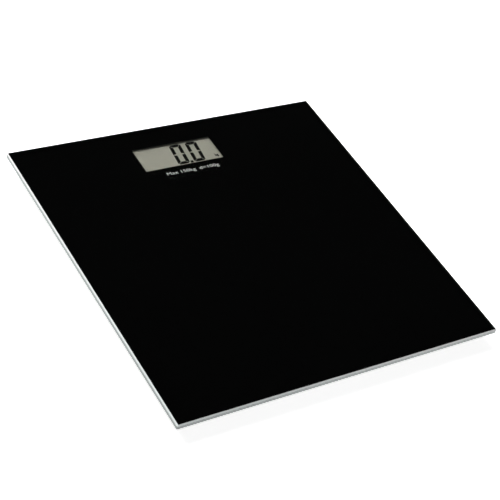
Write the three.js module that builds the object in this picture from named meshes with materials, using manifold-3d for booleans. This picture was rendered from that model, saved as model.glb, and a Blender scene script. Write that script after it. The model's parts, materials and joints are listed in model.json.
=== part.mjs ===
/*
 * Digital bathroom scale: a square glass platform on four load-cell feet, with an LCD module bonded
 * under the glass near its back edge.
 *
 * Frame: millimetres, +Z up, +X to the right and +Y towards the display's edge. The origin is on the
 * floor under the middle of the platform, and the user stands with the toes towards +Y.
 */
import * as THREE from 'three';
import { mergeVertices } from 'three/addons/utils/BufferGeometryUtils.js';
import Module from 'manifold-3d';

const wasm = await Module();
wasm.setup();

// ---------------------------------------------------------------- driving dimensions

// Platform
const PLATE_WIDTH = 300;
const PLATE_DEPTH = 300;
const OVERALL_HEIGHT = 22;
const GLASS_THICKNESS = 5;
const GLASS_ARRIS = 1;
const GLASS_CORNER_RADIUS = 1.5;
const PRINT_THICKNESS = 0.2;
const PRINT_MARGIN = 1.1;

// Fits that several pieces share
const BOND_GAP = 0.05;
const DROP_IN = 0.3;
const RUNNING = 0.3;
const ADHESIVE_THICKNESS = 0.5;
const ADHESIVE_INSET = 0.5;

// How far a cutting shape runs past a face, and a joined shape reaches into its neighbour
const CUT_PAST = 1;
const JOIN_INTO = 0.5;

// Window and LCD. The margins are what the panel has beyond the window on each side.
const WINDOW_WIDTH = 76;
const WINDOW_DEPTH = 28;
const WINDOW_OFFSET_X = -6;
const WINDOW_FROM_BACK = 35;
const LCD_SIDE_MARGIN = 4.5;
const LCD_BACK_MARGIN = 3.5;
const LCD_FRONT_MARGIN = 5.5;
const LCD_SHEET = 1.1;
const LCD_LEDGE = 4;
const LCD_STANDOFF = 2.3;
const HOLDER_WALL = 2.5;
const HOLDER_SHELF = 2;
const ZEBRA_WIDTH = 2.4;
const ZEBRA_INSET = 3;

// Circuit board. The margins are what it has beyond the LCD holder.
const BOARD_THICKNESS = 1.6;
const BOARD_LEFT_MARGIN = 9;
const BOARD_RIGHT_MARGIN = 2.6;
const BOARD_FRONT_MARGIN = 6;
const BOARD_BACK_MARGIN = 2;
const BOARD_TO_WALL = 0.8;
const RESIN_RADIUS = 6;
const RESIN_HEIGHT = 1.4;
const RESIN_FROM_HOLDER = 60;
const BOARD_SCREW_EDGE = 1.4;
const BOARD_SCREW_FRONT_EDGE = 0.4;
const BOARD_SCREW_FROM_FRONT = 10.4;
const BOARD_SCREW_FROM_BACK = 15.4;
const BOARD_SCREW_OFFSET_X = -3;

// Module housing and cover
const MODULE_HEIGHT = 12.15;
const HOUSING_WALL = 1.6;
const HOUSING_ROOF = 1.2;
const HOUSING_CORNER_RADIUS = 4;
const HOUSING_WINDOW_MARGIN = 1.5;
const COVER_THICKNESS = 2;
const BOSS_RADIUS = 2.8;
const BOSS_TO_WALL = 0.2;
const BOARD_BOSS_RADIUS = 2.4;

// Screws: a head, a shank and the clearance round each
const COVER_SCREW = { headRadius: 2.1, headHeight: 1.2, shankRadius: 1, length: 6 };
const BOARD_SCREW = { headRadius: 1.9, headHeight: 1.2, shankRadius: 0.9, length: 4.6 };
const SCREW_CLEARANCE = 0.3;
const PILOT_CLEARANCE = 0.1;
const PILOT_END = 0.4;
const COUNTERBORE_DEPTH = 1.35;
const CROSS_WIDTH = 0.5;

// Coin cell, its well and contacts
const COIN_DIAMETER = 20;
const COIN_THICKNESS = 3.2;
const COIN_CLEARANCE = 0.5;
const COIN_ABOVE_DOOR = 0.8;
const COIN_EDGE = 0.4;
const COIN_RIM = 1.3;
const COIN_LID = 0.3;
const WELL_WALL = 1;
const WELL_ROOF = 0.9;
const WELL_TO_BOARD = 1.6;
const CONTACT_THICKNESS = 0.25;
const CONTACT_WIDTH = 5;
const CONTACT_HEADROOM = 0.85;
const CONTACT_PAD_GAP = 0.8;
const LEAF_OFFSET_Y = -7.2;
const LEAF_WAY = 7.3;
const LEAF_STRAIGHT = 4;
const LEAF_TIP = 2.5;
const LEAF_LIFT = 0.4;

// Sliding battery door
const DOOR_THICKNESS = 1.4;
const DOOR_TONGUE = 0.9;
const DOOR_TONGUE_THICKNESS = 0.6;
const DOOR_REAR_LAP = 0.8;
const DOOR_RAIL = 1.6;
const TUNNEL_SKIN = 1;
const GRIP_RIDGES = 4;
const GRIP_START = 3;
const GRIP_PITCH = 2;
const GRIP_RIDGE = 0.8;
const GRIP_HEIGHT = 0.4;

// Unit button and the switch over it
const BUTTON_FROM_HOLDER = 11;
const BUTTON_RADIUS = 3;
const BUTTON_EDGE = 0.4;
const BUTTON_FLANGE_RADIUS = 4.5;
const BUTTON_FLANGE = 0.45;
const BUTTON_RECESS = 0.3;
const BUTTON_TRAVEL = 0.4;
const SWITCH_SIZE = 6;
const SWITCH_PLUNGER_RADIUS = 1.5;
const SWITCH_PLUNGER = 0.35;

// Feet
const FOOT_INSET = 42;
const LOAD_CELL_SIZE = 34;
const LOAD_CELL_THICKNESS = 2;
const LOAD_CELL_CORNER = 3;
const LOAD_CELL_TONGUE = 12;
const LOAD_CELL_SLOT = 2.5;
const LOAD_CELL_END = 5;
const LOAD_CELL_ROOT = 7;
const CELL_TO_CUP = 1.96;
const CUP_WALL = 2;
const CUP_ROOF = 2;
const CUP_RIM_HEIGHT = 3.2;
const CUP_LIP = 3.4;
const CUP_LIP_THICKNESS = 1.2;
const CUP_EDGE = 0.8;
const SEAT_HEIGHT = 1.6;
const SEAT_RAIL = 5;
const SEAT_INSET = 0.5;
const FENCE_THICKNESS = 2;
const FENCE_LENGTH = 15;
const HOOK_REACH = 1;
const HOOK_THICKNESS = 0.8;
const FOOT_CLEARANCE = 0.6;
const FOOT_TRAVEL = 0.6;
const FOOT_BOSS_RADIUS = 4;
const FOOT_DISC = 2.1;
const FOOT_FLANGE = 1.2;
const FOOT_FLANGE_LIFT = 0.4;
const FOOT_RIBS = 6;
const FOOT_RIB_THICKNESS = 1.4;
const FOOT_RIB_BELOW_FLANGE = 0.3;
const FOOT_WALL = 2;
const FOOT_EDGE = 0.6;
const SOLE_THICKNESS = 1.8;
const SOLE_PROUD = 0.8;
const SOLE_RIM = 1.7;
const SOLE_GROOVE = 0.5;
const SOLE_HOLLOW_RADIUS = 5;
const SOLE_GROOVE_RADIUS = 12.4;

// Leads and the channel covers that hold them against the print
const LEAD_WIDTH = 3.6;
const LEAD_THICKNESS = 0.9;
const LEAD_DROP = 2.35;
const LEAD_START = 10;
const LEAD_BEND_RADIUS = 9;
const CUP_TO_BEND = 4;
const LEAD_PAD = 3;
const LEAD_SLOPE = 1.4;
const LEAD_STEP_ANGLE = 0.26;
const COVER_WALL = 1.2;
const COVER_FLOOR = 0.8;
const COVER_FLANGE = 2.2;
const COVER_FLANGE_THICKNESS = 0.8;
const LANE_TO_MODULE = 18;
const FRONT_RIGHT_LANE = 24;
const REAR_LEFT_BEND = 6;

// Where each lead enters the module, from the edges of the board
const FRONT_LEFT_IN = 24;
const FRONT_RIGHT_IN = 25.4;
const REAR_RIGHT_IN = 13.4;
const REAR_LEFT_IN = 19.6;

// Points closer than this are one point
const MERGE_DISTANCE = 1e-4;

// Facets on a full turn
const ROUND_SIDES = 32;
const MEDIUM_SIDES = 24;
const SMALL_SIDES = 12;

// Heights, from the top of the glass down
const GLASS_UNDERSIDE = OVERALL_HEIGHT - GLASS_THICKNESS;
const PRINT_TOP = GLASS_UNDERSIDE - BOND_GAP;
const PRINT_UNDERSIDE = PRINT_TOP - PRINT_THICKNESS;
const ADHESIVE_TOP = PRINT_UNDERSIDE - BOND_GAP;
const ADHESIVE_UNDERSIDE = ADHESIVE_TOP - ADHESIVE_THICKNESS;
const BODY_TOP = ADHESIVE_UNDERSIDE - BOND_GAP;
const LEAD_TOP = BODY_TOP - LEAD_DROP;
const LEAD_UNDERSIDE = LEAD_TOP - LEAD_THICKNESS;

const HOUSING_ROOF_UNDERSIDE = BODY_TOP - HOUSING_ROOF;
const LCD_TOP = HOUSING_ROOF_UNDERSIDE - BOND_GAP;
const LCD_UNDERSIDE = LCD_TOP - 2 * LCD_SHEET;
const BOARD_TOP = LCD_UNDERSIDE - LCD_STANDOFF;
const BOARD_UNDERSIDE = BOARD_TOP - BOARD_THICKNESS;
const MODULE_UNDERSIDE = BODY_TOP - MODULE_HEIGHT;
const COVER_TOP = MODULE_UNDERSIDE + COVER_THICKNESS;
const DOOR_TOP = MODULE_UNDERSIDE + DOOR_THICKNESS;
const SLOT_TOP = DOOR_TOP + RUNNING;
const TUNNEL_TOP = SLOT_TOP + TUNNEL_SKIN;
const COIN_UNDERSIDE = DOOR_TOP + COIN_ABOVE_DOOR;
const COIN_TOP = COIN_UNDERSIDE + COIN_THICKNESS;
const WELL_CEILING = COIN_TOP + CONTACT_HEADROOM + CONTACT_THICKNESS;
const WELL_TOP = WELL_CEILING + WELL_ROOF;

const CUP_ROOF_UNDERSIDE = BODY_TOP - CUP_ROOF;
const LOAD_CELL_TOP = CUP_ROOF_UNDERSIDE - SEAT_HEIGHT - BOND_GAP;
const LOAD_CELL_UNDERSIDE = LOAD_CELL_TOP - LOAD_CELL_THICKNESS;
const FOOT_BOSS_TOP = LOAD_CELL_UNDERSIDE - FOOT_TRAVEL - BOND_GAP * 2;
const CUP_LIP_TOP = CUP_RIM_HEIGHT + CUP_LIP_THICKNESS;
const FOOT_FLANGE_UNDERSIDE = CUP_LIP_TOP + FOOT_FLANGE_LIFT;
const FOOT_FLANGE_TOP = FOOT_FLANGE_UNDERSIDE + FOOT_FLANGE;

// Rectangles in plan, from the window outwards
const WINDOW = {
  left: WINDOW_OFFSET_X - WINDOW_WIDTH / 2,
  right: WINDOW_OFFSET_X + WINDOW_WIDTH / 2,
  front: PLATE_DEPTH / 2 - WINDOW_FROM_BACK - WINDOW_DEPTH / 2,
  back: PLATE_DEPTH / 2 - WINDOW_FROM_BACK + WINDOW_DEPTH / 2,
};
const LCD = grown(WINDOW, LCD_SIDE_MARGIN, LCD_SIDE_MARGIN, LCD_FRONT_MARGIN, LCD_BACK_MARGIN);
const HOLDER = grownAll(LCD, DROP_IN + HOLDER_WALL);
const BOARD = grown(
  HOLDER, BOARD_LEFT_MARGIN, BOARD_RIGHT_MARGIN, BOARD_FRONT_MARGIN, BOARD_BACK_MARGIN,
);
const COIN_REACH = COIN_DIAMETER / 2 + COIN_CLEARANCE;
const COIN_X = BOARD.right + WELL_TO_BOARD + WELL_WALL + COIN_REACH;
const COIN_Y = (BOARD.front + BOARD.back) / 2;
const SLOT_HALF_WIDTH = COIN_REACH + DOOR_TONGUE + RUNNING;
const COVER = {
  left: BOARD.left - BOARD_TO_WALL + DROP_IN,
  right: COIN_X + SLOT_HALF_WIDTH + DOOR_RAIL,
  front: BOARD.front - BOARD_TO_WALL + DROP_IN,
  back: BOARD.back + BOARD_TO_WALL - DROP_IN,
};
const HOUSING_INSIDE = grownAll(COVER, DROP_IN);
const HOUSING = grownAll(HOUSING_INSIDE, HOUSING_WALL);
const BOSS_INSET = BOSS_RADIUS + BOSS_TO_WALL;
const DOOR_BACK = COIN_Y + COIN_REACH + DOOR_REAR_LAP;

const COVER_SCREW_PLACES = {
  front_left: [HOUSING_INSIDE.left + BOSS_INSET, HOUSING_INSIDE.front + BOSS_INSET],
  back_left: [HOUSING_INSIDE.left + BOSS_INSET, HOUSING_INSIDE.back - BOSS_INSET],
  front_right: [BOARD.right - BOSS_INSET, HOUSING_INSIDE.front + BOSS_INSET],
  back_right: [HOUSING_INSIDE.right - BOSS_INSET, HOUSING_INSIDE.back - BOSS_INSET],
};
const BOARD_SCREW_PLACES = {
  front: [
    (LCD.left + LCD.right) / 2 + BOARD_SCREW_OFFSET_X,
    BOARD.front + BOARD_BOSS_RADIUS + BOARD_SCREW_FRONT_EDGE,
  ],
  left: [BOARD.left + BOARD_BOSS_RADIUS + BOARD_SCREW_EDGE, BOARD.front + BOARD_SCREW_FROM_FRONT],
  back: [BOARD.left + BOARD_BOSS_RADIUS + BOARD_SCREW_EDGE, BOARD.back - BOARD_SCREW_FROM_BACK],
};
const BUTTON_X = HOLDER.left + BUTTON_FROM_HOLDER;
const BUTTON_Y = COIN_Y;
const RESIN_X = HOLDER.left + RESIN_FROM_HOLDER;
const RESIN_Y = COIN_Y;

const FEET = {
  front_left: [-1, -1],
  front_right: [1, -1],
  rear_left: [-1, 1],
  rear_right: [1, 1],
};
const CUP_INSIDE_RADIUS = (LOAD_CELL_SIZE / 2) * Math.SQRT2 + CELL_TO_CUP;
const CUP_RADIUS = CUP_INSIDE_RADIUS + CUP_WALL;
const CUP_MOUTH_RADIUS = CUP_INSIDE_RADIUS - CUP_LIP;
const FOOT_RADIUS = CUP_MOUTH_RADIUS - FOOT_CLEARANCE;
const FOOT_FLANGE_RADIUS = CUP_INSIDE_RADIUS - FOOT_CLEARANCE;
const SOLE_RADIUS = FOOT_RADIUS - SOLE_RIM - DROP_IN;

// Where each lead goes through the module's wall
const FRONT_LEFT_ENTRY = BOARD.left + FRONT_LEFT_IN;
const FRONT_RIGHT_ENTRY = BOARD.right - FRONT_RIGHT_IN;
const REAR_RIGHT_ENTRY = BOARD.right - REAR_RIGHT_IN;
const REAR_LEFT_ENTRY = BOARD.front + REAR_LEFT_IN;

// ---------------------------------------------------------------- plan rectangles

/** A rectangle made wider by its own margin on each side. */
function grown(rect, left, right, front, back) {
  return {
    left: rect.left - left,
    right: rect.right + right,
    front: rect.front - front,
    back: rect.back + back,
  };
}

function grownAll(rect, margin) {
  return grown(rect, margin, margin, margin, margin);
}

function centreOf(rect) {
  return [(rect.left + rect.right) / 2, (rect.front + rect.back) / 2];
}

// ---------------------------------------------------------------- shapes

/** The geometry with only positions, doubled points merged, empty triangles left out, faces outwards. */
function closed(geometry) {
  const bare = new THREE.BufferGeometry();
  bare.setAttribute('position', geometry.getAttribute('position'));
  bare.setIndex(geometry.getIndex());
  const merged = mergeVertices(bare, MERGE_DISTANCE);
  const index = merged.getIndex().array;
  const triangles = [];
  for (let i = 0; i < index.length; i += 3) {
    const [a, b, c] = [index[i], index[i + 1], index[i + 2]];
    if (a !== b && b !== c && c !== a) triangles.push([a, b, c]);
  }
  const position = merged.getAttribute('position');
  const corner = (i) => new THREE.Vector3().fromBufferAttribute(position, i);
  const volume = triangles.reduce(
    (sum, [a, b, c]) => sum + corner(a).dot(corner(b).cross(corner(c))) / 6,
    0,
  );
  if (volume < 0) triangles.forEach((triangle) => triangle.reverse());
  merged.setIndex(triangles.flat());
  return merged;
}

function toSolid(geometry) {
  const shape = closed(geometry);
  return new wasm.Manifold(new wasm.Mesh({
    numProp: 3,
    vertProperties: shape.getAttribute('position').array,
    triVerts: Uint32Array.from(shape.getIndex().array),
  }));
}

function toGeometry(solid) {
  const mesh = solid.getMesh();
  const geometry = new THREE.BufferGeometry();
  geometry.setAttribute('position', new THREE.BufferAttribute(mesh.vertProperties, 3));
  geometry.setIndex(new THREE.BufferAttribute(mesh.triVerts, 1));
  return geometry;
}

/** The pieces of add joined into one, with every piece of remove cut out of it. */
function carve(add, remove = []) {
  const joined = add.map(toSolid).reduce((whole, piece) => whole.add(piece));
  return toGeometry(remove.map(toSolid).reduce((whole, piece) => whole.subtract(piece), joined));
}

/** A block over a plan rectangle, from z = bottom to z = top. */
function block(rect, bottom, top) {
  const [x, y] = centreOf(rect);
  const geometry = new THREE.BoxGeometry(rect.right - rect.left, rect.back - rect.front, top - bottom);
  return geometry.translate(x, y, (bottom + top) / 2);
}

/** A block of the given size, centred on x and y. */
function centredBlock(x, y, width, depth, bottom, top) {
  const half = { left: x - width / 2, right: x + width / 2, front: y - depth / 2, back: y + depth / 2 };
  return block(half, bottom, top);
}

/** An upright round bar. */
function bar(x, y, radius, bottom, top, sides = SMALL_SIDES) {
  const geometry = new THREE.CylinderGeometry(radius, radius, top - bottom, sides);
  return geometry.rotateX(Math.PI / 2).translate(x, y, (bottom + top) / 2);
}

/** A profile of [radius, height] points turned about +Z. */
function turned(profile, sides = ROUND_SIDES) {
  const points = profile.map(([radius, height]) => new THREE.Vector2(radius, height));
  return closed(new THREE.LatheGeometry(points, sides).rotateX(Math.PI / 2));
}

/** A ring turned about +Z, whose profile closes on itself. */
function turnedRing(inner, outer, bottom, top, sides = ROUND_SIDES) {
  return turned([[inner, bottom], [outer, bottom], [outer, top], [inner, top], [inner, bottom]], sides);
}

/** A plan outline raised from z = bottom to z = top. */
function raised(shape, bottom, top) {
  const options = { depth: top - bottom, bevelEnabled: false, curveSegments: 5 };
  return new THREE.ExtrudeGeometry(shape, options).translate(0, 0, bottom);
}

/** A plan rectangle with round corners. */
function roundedOutline(rect, radius) {
  const shape = new THREE.Shape();
  shape.absarc(rect.left + radius, rect.front + radius, radius, Math.PI, 1.5 * Math.PI);
  shape.absarc(rect.right - radius, rect.front + radius, radius, 1.5 * Math.PI, 2 * Math.PI);
  shape.absarc(rect.right - radius, rect.back - radius, radius, 0, 0.5 * Math.PI);
  shape.absarc(rect.left + radius, rect.back - radius, radius, 0.5 * Math.PI, Math.PI);
  return shape;
}

/** An outline in the vertical x-z plane, of [x, z] points, given a width along y centred on y = 0. */
function sideCut(outline, width) {
  const shape = new THREE.Shape(outline.map(([x, z]) => new THREE.Vector2(x, z)));
  const geometry = new THREE.ExtrudeGeometry(shape, { depth: width, bevelEnabled: false });
  return geometry.rotateX(Math.PI / 2).translate(0, width / 2, 0);
}

// ---------------------------------------------------------------- strips that follow a route

/** The route with an arc-like bend in place of each inner corner. */
function rounded(route, radius) {
  const points = [route[0]];
  for (let i = 1; i < route.length - 1; i += 1) {
    const [before, corner, after] = [route[i - 1], route[i], route[i + 1]];
    const back = before.clone().sub(corner).normalize();
    const ahead = after.clone().sub(corner).normalize();
    const turn = Math.PI - back.angleTo(ahead);
    const reach = radius * Math.tan(turn / 2);
    const bend = new THREE.QuadraticBezierCurve(
      corner.clone().addScaledVector(back, reach),
      corner,
      corner.clone().addScaledVector(ahead, reach),
    );
    points.push(...bend.getPoints(Math.max(2, Math.round(turn / LEAD_STEP_ANGLE))));
  }
  points.push(route[route.length - 1]);
  return points;
}

/** The route with its first straight shortened by start and its last by end. Negative lengthens it. */
function trimmed(points, start, end) {
  const copy = points.map((point) => point.clone());
  const last = copy.length - 1;
  copy[0].addScaledVector(points[1].clone().sub(points[0]).normalize(), start);
  copy[last].addScaledVector(points[last - 1].clone().sub(points[last]).normalize(), end);
  return copy;
}

/** The plan outline of a strip of the given half width along the points, with mitred corners. */
function stripOutline(points, halfWidth) {
  const sides = points.map((point, i) => {
    const before = point.clone().sub(points[Math.max(i - 1, 0)]).normalize();
    const after = points[Math.min(i + 1, points.length - 1)].clone().sub(point).normalize();
    const along = before.clone().add(after).normalize();
    const straight = before.lengthSq() === 0 || after.lengthSq() === 0;
    const mitre = straight ? 1 : 1 / along.dot(before);
    return new THREE.Vector2(-along.y, along.x).multiplyScalar(halfWidth * mitre);
  });
  const left = points.map((point, i) => point.clone().add(sides[i]));
  const right = points.map((point, i) => point.clone().sub(sides[i]));
  return new THREE.Shape([...right, ...left.reverse()]);
}

/** A strip along the points, from z = bottom to z = top. */
function strip(points, width, bottom, top) {
  return raised(stripOutline(points, width / 2), bottom, top);
}

// ---------------------------------------------------------------- platform

function glassPlatform() {
  const rect = {
    left: -PLATE_WIDTH / 2, right: PLATE_WIDTH / 2, front: -PLATE_DEPTH / 2, back: PLATE_DEPTH / 2,
  };
  return new THREE.ExtrudeGeometry(roundedOutline(rect, GLASS_CORNER_RADIUS), {
    depth: GLASS_THICKNESS - 2 * GLASS_ARRIS,
    bevelSize: GLASS_ARRIS,
    bevelThickness: GLASS_ARRIS,
    bevelOffset: -GLASS_ARRIS,
    bevelSegments: 1,
    curveSegments: 5,
  }).translate(0, 0, GLASS_UNDERSIDE + GLASS_ARRIS);
}

/** The opaque print: a thin sheet with the clear window left out of it. */
function blackPrint() {
  const sheet = centredBlock(
    0, 0, PLATE_WIDTH - 2 * PRINT_MARGIN, PLATE_DEPTH - 2 * PRINT_MARGIN, PRINT_UNDERSIDE, PRINT_TOP,
  );
  return carve([sheet], [block(WINDOW, PRINT_UNDERSIDE - CUT_PAST, PRINT_TOP + CUT_PAST)]);
}

// ---------------------------------------------------------------- display module

const HOUSING_WINDOW = grownAll(WINDOW, HOUSING_WINDOW_MARGIN);

/** The foam adhesive frame that bonds the housing to the print round the window. */
function displayGasket() {
  const outline = roundedOutline(grownAll(HOUSING, -ADHESIVE_INSET), HOUSING_CORNER_RADIUS);
  const frame = raised(outline, ADHESIVE_UNDERSIDE, ADHESIVE_TOP);
  return carve([frame], [
    block(HOUSING_WINDOW, ADHESIVE_UNDERSIDE - CUT_PAST, ADHESIVE_TOP + CUT_PAST),
  ]);
}

/** The opening in a wall for a lead, as wide as the lead and its clearance. */
function leadOpening(x, y, depthAlongX, depthAlongY) {
  return centredBlock(
    x, y, depthAlongX, depthAlongY, LEAD_UNDERSIDE - DROP_IN, LEAD_TOP + DROP_IN,
  );
}

function moduleHousing() {
  const opening = LEAD_WIDTH + 2 * DROP_IN;
  const through = 4 * HOUSING_WALL;
  const shell = raised(roundedOutline(HOUSING, HOUSING_CORNER_RADIUS), MODULE_UNDERSIDE, BODY_TOP);
  const inside = raised(
    roundedOutline(HOUSING_INSIDE, HOUSING_CORNER_RADIUS - HOUSING_WALL),
    MODULE_UNDERSIDE - CUT_PAST,
    HOUSING_ROOF_UNDERSIDE,
  );
  const hollow = carve([shell], [inside]);
  const bosses = Object.values(COVER_SCREW_PLACES).map(([x, y]) => (
    bar(x, y, BOSS_RADIUS, COVER_TOP + BOND_GAP, HOUSING_ROOF_UNDERSIDE + JOIN_INTO)
  ));
  const boardBosses = Object.values(BOARD_SCREW_PLACES).map(([x, y]) => (
    bar(x, y, BOARD_BOSS_RADIUS, BOARD_TOP + BOND_GAP, HOUSING_ROOF_UNDERSIDE + JOIN_INTO)
  ));
  const pilots = Object.values(COVER_SCREW_PLACES).map(([x, y]) => {
    const top = MODULE_UNDERSIDE + COUNTERBORE_DEPTH + COVER_SCREW.length + PILOT_END;
    return bar(x, y, COVER_SCREW.shankRadius + PILOT_CLEARANCE, COVER_TOP - CUT_PAST, top);
  });
  const boardPilots = Object.values(BOARD_SCREW_PLACES).map(([x, y]) => {
    const top = BOARD_UNDERSIDE + BOARD_SCREW.length + PILOT_END;
    return bar(x, y, BOARD_SCREW.shankRadius + PILOT_CLEARANCE, BOARD_TOP - CUT_PAST, top);
  });
  const doorWay = centredBlock(
    COIN_X, HOUSING.front, 2 * SLOT_HALF_WIDTH, through, MODULE_UNDERSIDE - CUT_PAST, SLOT_TOP,
  );
  return carve([hollow, ...bosses, ...boardBosses], [
    block(HOUSING_WINDOW, HOUSING_ROOF_UNDERSIDE - CUT_PAST, BODY_TOP + CUT_PAST),
    ...pilots,
    ...boardPilots,
    doorWay,
    leadOpening(FRONT_LEFT_ENTRY, HOUSING.front, opening, through),
    leadOpening(FRONT_RIGHT_ENTRY, HOUSING.front, opening, through),
    leadOpening(REAR_RIGHT_ENTRY, HOUSING.front, opening, through),
    leadOpening(HOUSING.left, REAR_LEFT_ENTRY, through, opening),
  ]);
}

const POSITIVE_Y = COIN_Y;
const NEGATIVE_Y = COIN_Y + LEAF_OFFSET_Y;
const LEAF_UNDERSIDE = WELL_CEILING - CONTACT_THICKNESS - BOND_GAP;

/** A contact's way in through the coin cell's well, from its left side. */
function contactWay(y, bottom, reach) {
  const rect = {
    left: COIN_X - COIN_REACH - WELL_WALL - CUT_PAST,
    right: COIN_X - COIN_REACH + reach,
    front: y - CONTACT_WIDTH / 2 - DROP_IN,
    back: y + CONTACT_WIDTH / 2 + DROP_IN,
  };
  return block(rect, bottom, WELL_TOP + CUT_PAST);
}

/** The bottom plate, with the coin cell's well and the door's tunnel standing on it. */
function moduleCover() {
  const corner = HOUSING_CORNER_RADIUS - HOUSING_WALL - DROP_IN / 2;
  const plate = raised(roundedOutline(COVER, corner), MODULE_UNDERSIDE, COVER_TOP);
  const tunnelOutline = roundedOutline({
    left: COIN_X - SLOT_HALF_WIDTH - TUNNEL_SKIN,
    right: COVER.right,
    front: COVER.front,
    back: DOOR_BACK + RUNNING + DOOR_RAIL,
  }, corner);
  const tunnel = raised(tunnelOutline, MODULE_UNDERSIDE, TUNNEL_TOP);
  const well = bar(
    COIN_X, COIN_Y, COIN_REACH + WELL_WALL, MODULE_UNDERSIDE, WELL_TOP, ROUND_SIDES,
  );
  const cavity = bar(COIN_X, COIN_Y, COIN_REACH, MODULE_UNDERSIDE - CUT_PAST, WELL_CEILING, ROUND_SIDES);
  const tongueSlot = block({
    left: COIN_X - SLOT_HALF_WIDTH,
    right: COIN_X + SLOT_HALF_WIDTH,
    front: COVER.front - CUT_PAST,
    back: DOOR_BACK + RUNNING,
  }, DOOR_TOP - DOOR_TONGUE_THICKNESS - RUNNING, SLOT_TOP);
  const doorOpening = block({
    left: COIN_X - COIN_REACH - RUNNING,
    right: COIN_X + COIN_REACH + RUNNING,
    front: COVER.front - CUT_PAST,
    back: DOOR_BACK + RUNNING,
  }, MODULE_UNDERSIDE - CUT_PAST, SLOT_TOP - BOND_GAP);
  const screwHoles = Object.values(COVER_SCREW_PLACES).flatMap(([x, y]) => [
    bar(
      x, y, COVER_SCREW.headRadius + SCREW_CLEARANCE,
      MODULE_UNDERSIDE - CUT_PAST, MODULE_UNDERSIDE + COUNTERBORE_DEPTH,
    ),
    bar(
      x, y, COVER_SCREW.shankRadius + SCREW_CLEARANCE,
      MODULE_UNDERSIDE, COVER_TOP + CUT_PAST,
    ),
  ]);
  const buttonHole = bar(
    BUTTON_X, BUTTON_Y, BUTTON_RADIUS + RUNNING,
    MODULE_UNDERSIDE - CUT_PAST, COVER_TOP + CUT_PAST, MEDIUM_SIDES,
  );
  return carve([plate, tunnel, well], [
    cavity,
    tongueSlot,
    doorOpening,
    ...screwHoles,
    buttonHole,
    contactWay(POSITIVE_Y, COIN_UNDERSIDE, 1),
    contactWay(NEGATIVE_Y, LEAF_UNDERSIDE - 2 * CONTACT_THICKNESS, LEAF_WAY),
  ]);
}

/** The sliding door: a plate with a tongue along each side and ridges for a fingertip. */
function batteryDoor() {
  const plate = block({
    left: COIN_X - COIN_REACH,
    right: COIN_X + COIN_REACH,
    front: HOUSING.front,
    back: DOOR_BACK,
  }, MODULE_UNDERSIDE, DOOR_TOP);
  const tongues = block({
    left: COIN_X - COIN_REACH - DOOR_TONGUE,
    right: COIN_X + COIN_REACH + DOOR_TONGUE,
    front: HOUSING.front + HOUSING_WALL,
    back: DOOR_BACK,
  }, DOOR_TOP - DOOR_TONGUE_THICKNESS, DOOR_TOP);
  const ridges = Array.from({ length: GRIP_RIDGES }, (_, i) => centredBlock(
    COIN_X,
    HOUSING.front + GRIP_START + i * GRIP_PITCH,
    COIN_REACH,
    GRIP_RIDGE,
    MODULE_UNDERSIDE - GRIP_HEIGHT,
    MODULE_UNDERSIDE + JOIN_INTO,
  ));
  return carve([plate, tongues, ...ridges]);
}

/** Two glass sheets, of which the top one reaches further forward as the contact ledge. */
function lcdPanel() {
  const back = block(
    grown(LCD, 0, 0, -LCD_LEDGE, 0), LCD_UNDERSIDE, LCD_TOP - LCD_SHEET + JOIN_INTO,
  );
  const front = block(LCD, LCD_TOP - LCD_SHEET, LCD_TOP);
  return carve([front, back]);
}

const ZEBRA = {
  left: LCD.left + ZEBRA_INSET,
  right: LCD.right - ZEBRA_INSET,
  front: LCD.front + (LCD_LEDGE - ZEBRA_WIDTH) / 2,
  back: LCD.front + (LCD_LEDGE + ZEBRA_WIDTH) / 2,
};

/** The frame round the panel, with a shelf under its back sheet and a slot for the connector strip. */
function lcdHolder() {
  const frame = block(HOLDER, BOARD_TOP + BOND_GAP, HOUSING_ROOF_UNDERSIDE - BOND_GAP);
  const shelf = grown(LCD, -HOLDER_SHELF, -HOLDER_SHELF, -LCD_LEDGE - HOLDER_SHELF, -HOLDER_SHELF);
  return carve([frame], [
    block(grownAll(LCD, DROP_IN), LCD_UNDERSIDE - BOND_GAP, BODY_TOP),
    block(shelf, BOARD_TOP - CUT_PAST, BODY_TOP),
    block(grownAll(ZEBRA, DROP_IN / 2), BOARD_TOP - CUT_PAST, BODY_TOP),
  ]);
}

function zebraStrip() {
  return block(ZEBRA, BOARD_TOP + BOND_GAP, LCD_TOP - LCD_SHEET - BOND_GAP);
}

/** The circuit board, notched round the housing's corner bosses, with holes for its screws. */
function circuitBoard() {
  const plate = block(BOARD, BOARD_UNDERSIDE, BOARD_TOP);
  const notch = 2 * (BOSS_RADIUS + DROP_IN);
  const notches = ['front_left', 'back_left', 'front_right'].map((corner) => {
    const [x, y] = COVER_SCREW_PLACES[corner];
    const towardsLeft = corner.endsWith('left') ? -1 : 1;
    const towardsFront = corner.startsWith('front') ? -1 : 1;
    return centredBlock(
      x + towardsLeft * notch, y + towardsFront * notch, 3 * notch, 3 * notch,
      BOARD_UNDERSIDE - CUT_PAST, BOARD_TOP + CUT_PAST,
    );
  });
  const holes = Object.values(BOARD_SCREW_PLACES).map(([x, y]) => bar(
    x, y, BOARD_SCREW.shankRadius + SCREW_CLEARANCE, BOARD_UNDERSIDE - CUT_PAST, BOARD_TOP + CUT_PAST,
  ));
  return carve([plate], [...notches, ...holes]);
}

/** The resin over the chip: a shallow dome hanging from the board's underside. */
function resinBlob() {
  const steps = 6;
  const top = BOARD_UNDERSIDE - BOND_GAP;
  const dome = Array.from({ length: steps + 1 }, (_, i) => {
    const angle = (Math.PI / 2) * (i / steps);
    return [RESIN_RADIUS * Math.sin(angle), top - RESIN_HEIGHT * Math.cos(angle)];
  });
  return turned([...dome, [0, top]], MEDIUM_SIDES).translate(RESIN_X, RESIN_Y, 0);
}

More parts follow.
